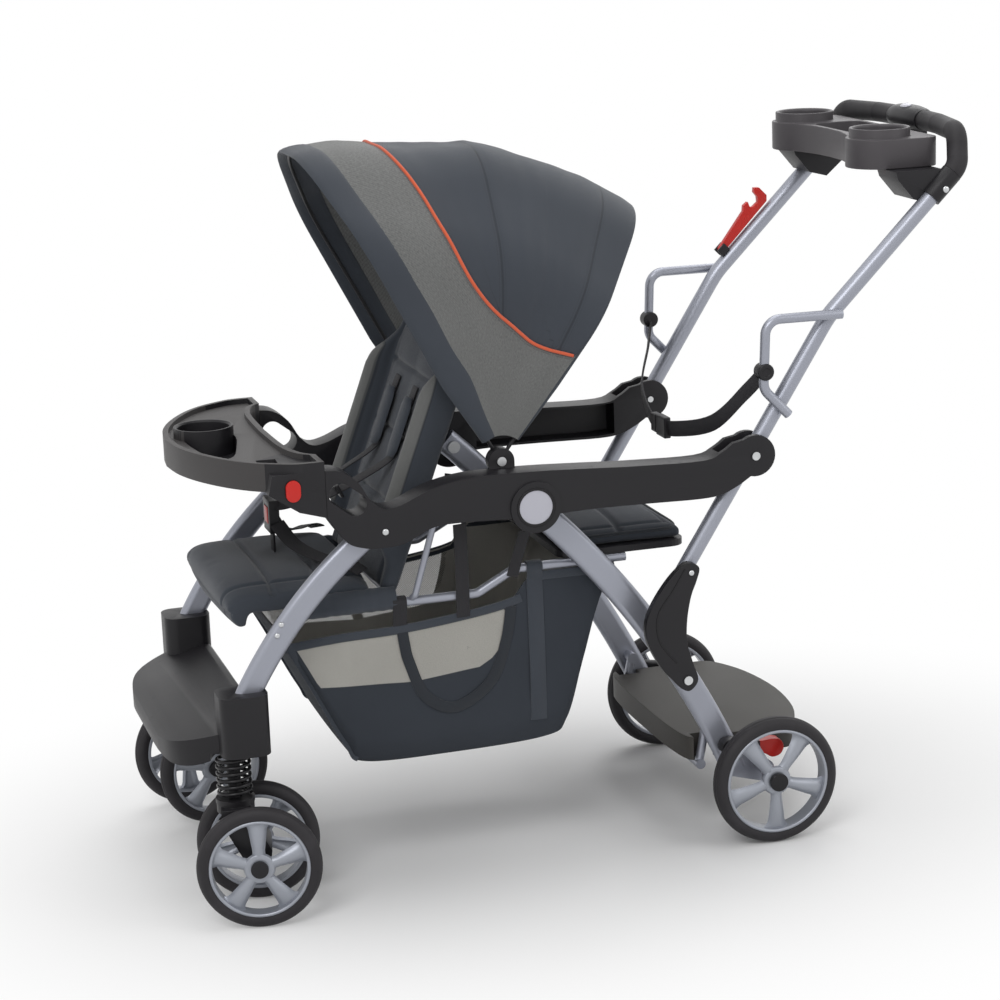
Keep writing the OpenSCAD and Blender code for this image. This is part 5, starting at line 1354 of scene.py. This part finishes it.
@building_step("Basket")
def basket():
    """Cloth basket with net sides, dark binding, carrying loops and hanging straps"""
    side, floor = 26, 26
    rows, net = [], []
    for x, z in BASKET_KEEL:
        top = max(level(BASKET_BAND, x), z)
        deep = top - z
        row = []
        for s in (LEFT, RIGHT):
            wall = [basket_side(x, top - deep * j / side, s) for j in range(side)]
            base = []
            for j in range(floor // 2 + (1 if s == LEFT else 0)):
                y = (1 - 2 * j / floor) * (BASKET_HALF - 0.016 * clamp(deep / 0.06))
                sag = 0.0045 * (1 - (y / BASKET_HALF) ** 2) * clamp(deep / 0.12)
                base.append(Vector((x, s * y, z - sag)))
            row += wall + base if s == LEFT else list(reversed(wall + base))
        rows.append(row)
        for q in row:
            window = min(q.z - level(NET_FOOT, q.x), level(BASKET_BAND, q.x) - 0.008 - q.z, q.z - z - 0.020)
            net.append(window if abs(q.y) > 0.155 else -0.02)
    bag = grid_sheet("basket_bag", rows)
    mark_points(bag, "net", net)
    outward(bag)
    if sum((f.center - BASKET_MIDDLE).dot(f.normal) * f.area for f in bag.data.polygons) < 0:
        bag.data.flip_normals()
    dress(bag, "basket_cloth", "frame", "basket", slot="slate_cloth")
    # The inside face takes the pale finish, painted light over the basket's shaded inside
    bag.data.materials.append(finish("basket_lining"))
    walled(bag, 0.0016).material_offset = 1
    apply_all(bag)
    smooth(bag, 60)

    edges, hangers, loops, sleeves = [], [], [], []
    for s in (LEFT, RIGHT):
        out = lambda i, s=s: Vector((0, s, 0))
        top = [basket_side(x, z - 0.004, s, 0.0006) for x, z in BASKET_BAND[:6]]
        edges.append(swept("basket_edge", smooth_curve(top, 8), flat(0.013, 0.0045), out))
        top = [basket_side(x, 0.4545, s, 0.0006) for x in (-0.082, -0.030, 0.020, 0.052)]
        edges.append(swept("basket_edge", smooth_curve(top, 6), flat(0.014, 0.0045), out))
        corner = [basket_side(x, z + 0.003, s, 0.0004) for x, z in BASKET_KEEL[1:26]]
        edges.append(swept("basket_edge", corner, flat(0.010, 0.0036), out))
        loop = [basket_side(x, z, s, 0.0012) for x, z in BASKET_LOOP]
        loops.append(swept("basket_loop", smooth_curve(loop, 8), flat(0.017, 0.0024), out))
        for x, width in ((-0.286, 0.022), (-0.072, 0.025)):
            z = RAIL_Z if x < BASKET_MIDDLE.x else RAIL_Z + 0.032
            foot = [basket_side(x, q, s, 0.0012)
                for q in ((0.405, 0.392) if x < BASKET_MIDDLE.x else (0.448, 0.40, 0.34, 0.28, 0.225))]
            run = [(x, s * 0.1678, z - 0.002), (x, s * 0.1700, z + 0.0065), (x, s * RAIL_Y, z + 0.0088),
                (x, s * 0.1820, z + 0.0065), (x, s * 0.1848, z - 0.001)] + [tuple(q) for q in foot]
            path = smooth_curve(run, 6)
            middle = Vector((x, s * 0.170, z - 0.010))
            turned = [Vector((0, (q - middle).y, max(0.0, (q - middle).z)))
                if q.z > z - 0.004 else Vector((0, s, 0)) for q in path]
            (hangers if x < BASKET_MIDDLE.x else sleeves).append(
                swept("basket_strap", path, flat(width, 0.0022), lambda i, t=turned: t[i]))
        hangers.append(
            strap("basket_strap",
                [(-0.194, s * 0.2070, 0.556), (-0.191, s * 0.1985, 0.500), (-0.188, s * 0.1870, 0.447),
                    tuple(basket_side(-0.187, 0.404, s, 0.0030))], 0.021, (0, s, 0.2)))
        hangers.append(
            strap("basket_strap",
                [(-0.093, s * 0.2075, 0.534), (-0.099, s * 0.1980, 0.505), (-0.105, s * 0.1866, 0.473),
                    (-0.108, s * 0.1838, 0.459)], 0.018, (0, s, 0.2)))
    for x in (BASKET_KEEL[0][0], BASKET_KEEL[-1][0]):
        lip = [Vector((x, BASKET_HALF * (2 * k / 24 - 1), level(BASKET_KEEL, x) - 0.003))
            for k in range(25)]
        edges.append(
            swept("basket_edge", lip, flat(0.014, 0.0045),
                lambda i, x=x: Vector((-1 if x < BASKET_MIDDLE.x else 1, 0, 0.2))))
    for name, pieces, material, slot in (
            ("basket_binding", edges, "slate_sheet", "slate_cloth"),
            ("basket_sleeves", sleeves, "slate_sheet", "slate_cloth"),
            ("basket_loops", loops, "dark_sheet", "slate_cloth"),
            ("basket_hangers", hangers, "strap_webbing", "webbing")):
        trim = joined(name, *pieces)
        smooth(trim, 50)
        dress(trim, material, "frame", slot=slot)


# Straps

def strap(name, points, width, facing, thick=0.0022, steps=8):
    path = smooth_curve(points, steps)
    obj = swept(name, path, flat(width, thick), facing if callable(facing) else (lambda i: Vector(facing)))
    return smooth(obj, 50)


def slider(name, place, w=0.040, h=0.022, t=0.006):
    """A moulded strap adjuster: a rounded frame with two windows and a bar."""
    deselect()
    bpy.ops.mesh.primitive_cube_add(size=1)
    obj = named(name)
    obj.data.transform(Matrix.Diagonal((w, h, t, 1)))
    choose(obj, lambda f: abs(f.normal.z) > 0.9)
    bpy.ops.mesh.inset(thickness=0.0045)
    bpy.ops.transform.resize(value=(1, 1, 0.55))
    done()
    bevelled(obj, 0.0016)
    smooth(obj, 40)
    obj.data.transform(place)
    return obj


@building_step("Harness")
def harness():
    """Shoulder straps with pads and lap straps to the crotch buckle"""
    back = lambda x, y, z: tuple(SEAT_PLACE @ Vector((x, y, z)))
    face = SEAT_PLACE.to_3x3() @ Vector((-1, 0, 0))
    shoulders, pads, laps, sliders = [], [], [], []
    for s in (LEFT, RIGHT):
        shoulders.append(
            strap("shoulder",
                [back(-0.0385, s * 0.052, 0.309), back(-0.0400, s * 0.052, 0.285),
                    back(-0.0415, s * 0.051, 0.235), back(-0.0410, s * 0.049, 0.195),
                    (-0.305, s * 0.044, 0.604), (-0.362, s * 0.034, 0.578), (-0.410, s * 0.025, 0.572),
                    (-0.432, s * 0.017, 0.571)], sizes().strap, face))
        rows = []
        for i in range(17):
            t = i / 16
            w = 0.021 * min(1.0, 0.55 + 3.2 * t, 0.55 + 3.2 * (1 - t))
            row = []
            for a in around(16):
                across, out = math.cos(a), math.sin(a)
                row.append(Vector(back(-0.0425 + 0.0075 * out * (1 if out < 0 else 0.25),
                    s * 0.0515 + w * across, 0.195 + 0.095 * t)))
            rows.append(row)
        pads.append(smooth(closed_loft("shoulder_pad", rows), 60))
        laps.append(
            strap("lap",
                [(-0.333, s * 0.150, 0.484), (-0.352, s * 0.128, 0.4945), (-0.385, s * 0.092, 0.4985),
                    (-0.415, s * 0.052, 0.513), (-0.434, s * 0.024, 0.541)], sizes().strap, (-0.25, 0, 1)))
        place = Matrix.Translation((-0.340, s * 0.0385, 0.5885)) @ Matrix.Rotation(math.radians(66), 4, "Y")
        sliders.append(slider("slide", place @ Matrix.Rotation(math.radians(90), 4, "Z")))
    straps = dress(joined("harness_straps", *shoulders), "strap_webbing", None, "harness", slot="webbing")
    wings = dress(joined("harness_pads", *pads), "slate_cloth", "seat_back", slot="slate_cloth")
    dress(joined("harness_lap", *laps), "strap_webbing", "frame", slot="webbing")
    slides = dress(joined("harness_sliders", *sliders), "black_plastic", None, slot="black_plastic")
    for piece in (straps, slides):
        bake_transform(piece)


CLASP = Vector((0.2026, 0, 0.6295))


@building_step("Rear waist belt")
def waist_belt():
    """Rear waist belt with its buckle and the holders on the grab loops"""
    half = [(0.2766, 0.2445, 0.7440), (0.2626, 0.2172, 0.7155), (0.2306, 0.1632, 0.6615),
        (0.2066, 0.0600, 0.6335)]
    belt = strap("waist_belt", [(x, -y, z) for x, y, z in half] + [tuple(CLASP)] + list(reversed(half)),
        0.025, (1, 0, 0.1), 0.0026)
    dress(belt, "strap_webbing", "handle", "rear_belt", slot="webbing")
    parts = []
    for x0, x1, z in ((-0.034, 0.006, 0.034), (0.008, 0.030, 0.030)):
        deselect()
        bpy.ops.mesh.primitive_cube_add(size=1)
        shell = named("clasp")
        shell.data.transform(Matrix.Translation((CLASP.x, (x0 + x1) / 2, CLASP.z))
            @ Matrix.Diagonal((0.012, x1 - x0, z, 1)))
        choose(shell, lambda f: abs(f.normal.x) > 0.9)
        bpy.ops.mesh.inset(thickness=0.0050)
        bpy.ops.transform.resize(value=(0.80, 1, 1), center_override=CLASP)
        done()
        bevelled(shell, 0.0022)
        parts.append(shell)
    for s in (LEFT, RIGHT):
        clip = lathe("clip",
            rounded_ring(
                [(0.00001, -0.0125), (0.0120, -0.0125), (0.0130, -0.0105), (0.0130, 0.0085),
                    (0.0115, 0.0105), (0.0070, 0.0105), (0.0060, 0.0090), (0.00001, 0.0090)], 0.0010), 40)
        clip.data.transform(seat_on((0.27857, s * 0.256, 0.75346), (0, s, 0)))
        parts.append(clip)
    clasp = joined("waist_clasp", *parts)
    dress(smooth(clasp, 40), "black_plastic", "handle", slot="black_plastic")


# Trim

LINK_FACE = 0.2640
HUB_X, HUB_Y, HUB_Z = -0.090, 0.2606, 0.583


@building_step("Trim")
def trim():
    """Bare hub discs, rivet heads and caps"""
    ringed = lathe("hub_ring",
        rounded_ring([(0.0258, 0), (0.0298, 0), (0.0298, 0.0026), (0.0258, 0.0026)], 0.0008), 72)
    disc = lathe("hub_disc",
        [(0.00001, 0.0), (0.0256, 0.0), (0.0256, 0.0012), (0.018, 0.0019), (0.009, 0.0022),
            (0.00001, 0.0023)], 72)
    rings, discs = [], []
    for s in (LEFT, RIGHT):
        m = seat_on((HUB_X, s * HUB_Y, HUB_Z), (0, s, 0))
        rings.append(copy_of(ringed, "hub_ring_copy", m))
        discs.append(copy_of(disc, "hub_disc_copy", m))
    for obj in (ringed, disc):
        bpy.data.objects.remove(obj)
    for name, copies, material, slot in (("hub_rings", rings, "gloss_black", "black_plastic"),
                                         ("hub_discs", discs, "badge_grey", "silver_paint")):
        obj = joined(name, *copies)
        dress(smooth(obj, 40), material, "frame", slot=slot)

    block = bpy.data.objects["release_block"]
    tilt = Vector((-0.36, 0, 0.93)).normalized()
    hit, spot, _, _ = block.ray_cast(Vector((0.6400, 0, 1.0900)) + tilt * 0.2, -tilt)
    if not hit:
        raise RuntimeError("no release block under the badge")
    badge = lathe("grip_badge",
        [(0.00001, -0.001), (0.0075, -0.001), (0.0075, 0.0008), (0.0066, 0.0014), (0.00001, 0.0019)], 48)
    badge.data.transform(Matrix.Translation(spot) @ Matrix.Rotation(math.atan2(tilt.x, tilt.z), 4, "Y")
        @ Matrix.Diagonal((1.0, 1.9, 1.0, 1)))
    dress(smooth(badge, 40), "badge_grey", "handle", slot="silver_paint")

    d = sizes().rivet
    for name, body, wide, places in (
            ("arm_rivets", "frame", d * 0.85, [((-0.3206, -0.2575, 0.5697), (0, -1, 0))]),
            ("leg_rivets", "frame", d * 0.7,
                [((-0.4797, -0.2380, 0.4423), (0, -1, 0)), ((-0.4866, -0.2380, 0.4263), (0, -1, 0))]),
            ("sleeve_rivets", "handle", d * 0.85, [((0.5806, -0.2515, 1.0065), (0, -1, 0))])):
        rivets(name, "zinc", body, wide, 0.0030, both_sides(places))
    for s, _, word in SIDES:
        rivets("link_rivets_" + word, "zinc", "link_" + word, d * 0.75, 0.0030,
            [((0.1430, s * LINK_FACE, 0.2854), (0, s, 0)), ((0.152, s * LINK_FACE, 0.455), (0, s, 0))])
        line = smooth_curve(
            [(0.1420, s * LINK_FACE, 0.4620), (0.1227, s * LINK_FACE, 0.4314),
                (0.0990, s * LINK_FACE, 0.3990), (0.0947, s * LINK_FACE, 0.3723),
                (0.1020, s * LINK_FACE, 0.3450), (0.1254, s * LINK_FACE, 0.3152)], 8)
        rib = swept("link_rib_" + word, line,
            [(-0.0016, -0.0010), (0.0016, -0.0010), (0.0011, 0.0009), (0, 0.0013), (-0.0011, 0.0009)],
            lambda i, s=s: Vector((0, s, 0)))
        dress(smooth(rib, 40), "gloss_black", "link_" + word, slot="black_plastic")


class STROLLER_PT_panel(bpy.types.Panel):
    """Stroller settings and the steps that build its looks"""
    bl_label = "Stroller"
    bl_idname = "STROLLER_PT_panel"
    bl_space_type = "VIEW_3D"
    bl_region_type = "UI"
    bl_category = "Stroller"

    def draw(self, context):
        for group in (context.scene.stroller_colours, context.scene.stroller_sizes):
            box = self.layout.box()
            for key in group.__annotations__:
                box.prop(group, key)
        for step in STEPS:
            self.layout.operator(step.bl_idname)


CLASSES = (StrollerColours, StrollerSizes, *STEPS, STROLLER_PT_panel)


def register():
    for cls in CLASSES:
        bpy.utils.register_class(cls)
    bpy.types.Scene.stroller_colours = bpy.props.PointerProperty(type=StrollerColours)
    bpy.types.Scene.stroller_sizes = bpy.props.PointerProperty(type=StrollerSizes)


def unregister():
    del bpy.types.Scene.stroller_sizes
    del bpy.types.Scene.stroller_colours
    for cls in reversed(CLASSES):
        bpy.utils.unregister_class(cls)


def plain(box):
    return [[float(x) for x in corner] for corner in box]


def main():
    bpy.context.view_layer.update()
    register()
    for step in STEPS:
        getattr(bpy.ops.stroller, step.bl_idname.split(".")[1])()


if __name__ == "__main__":
    main()
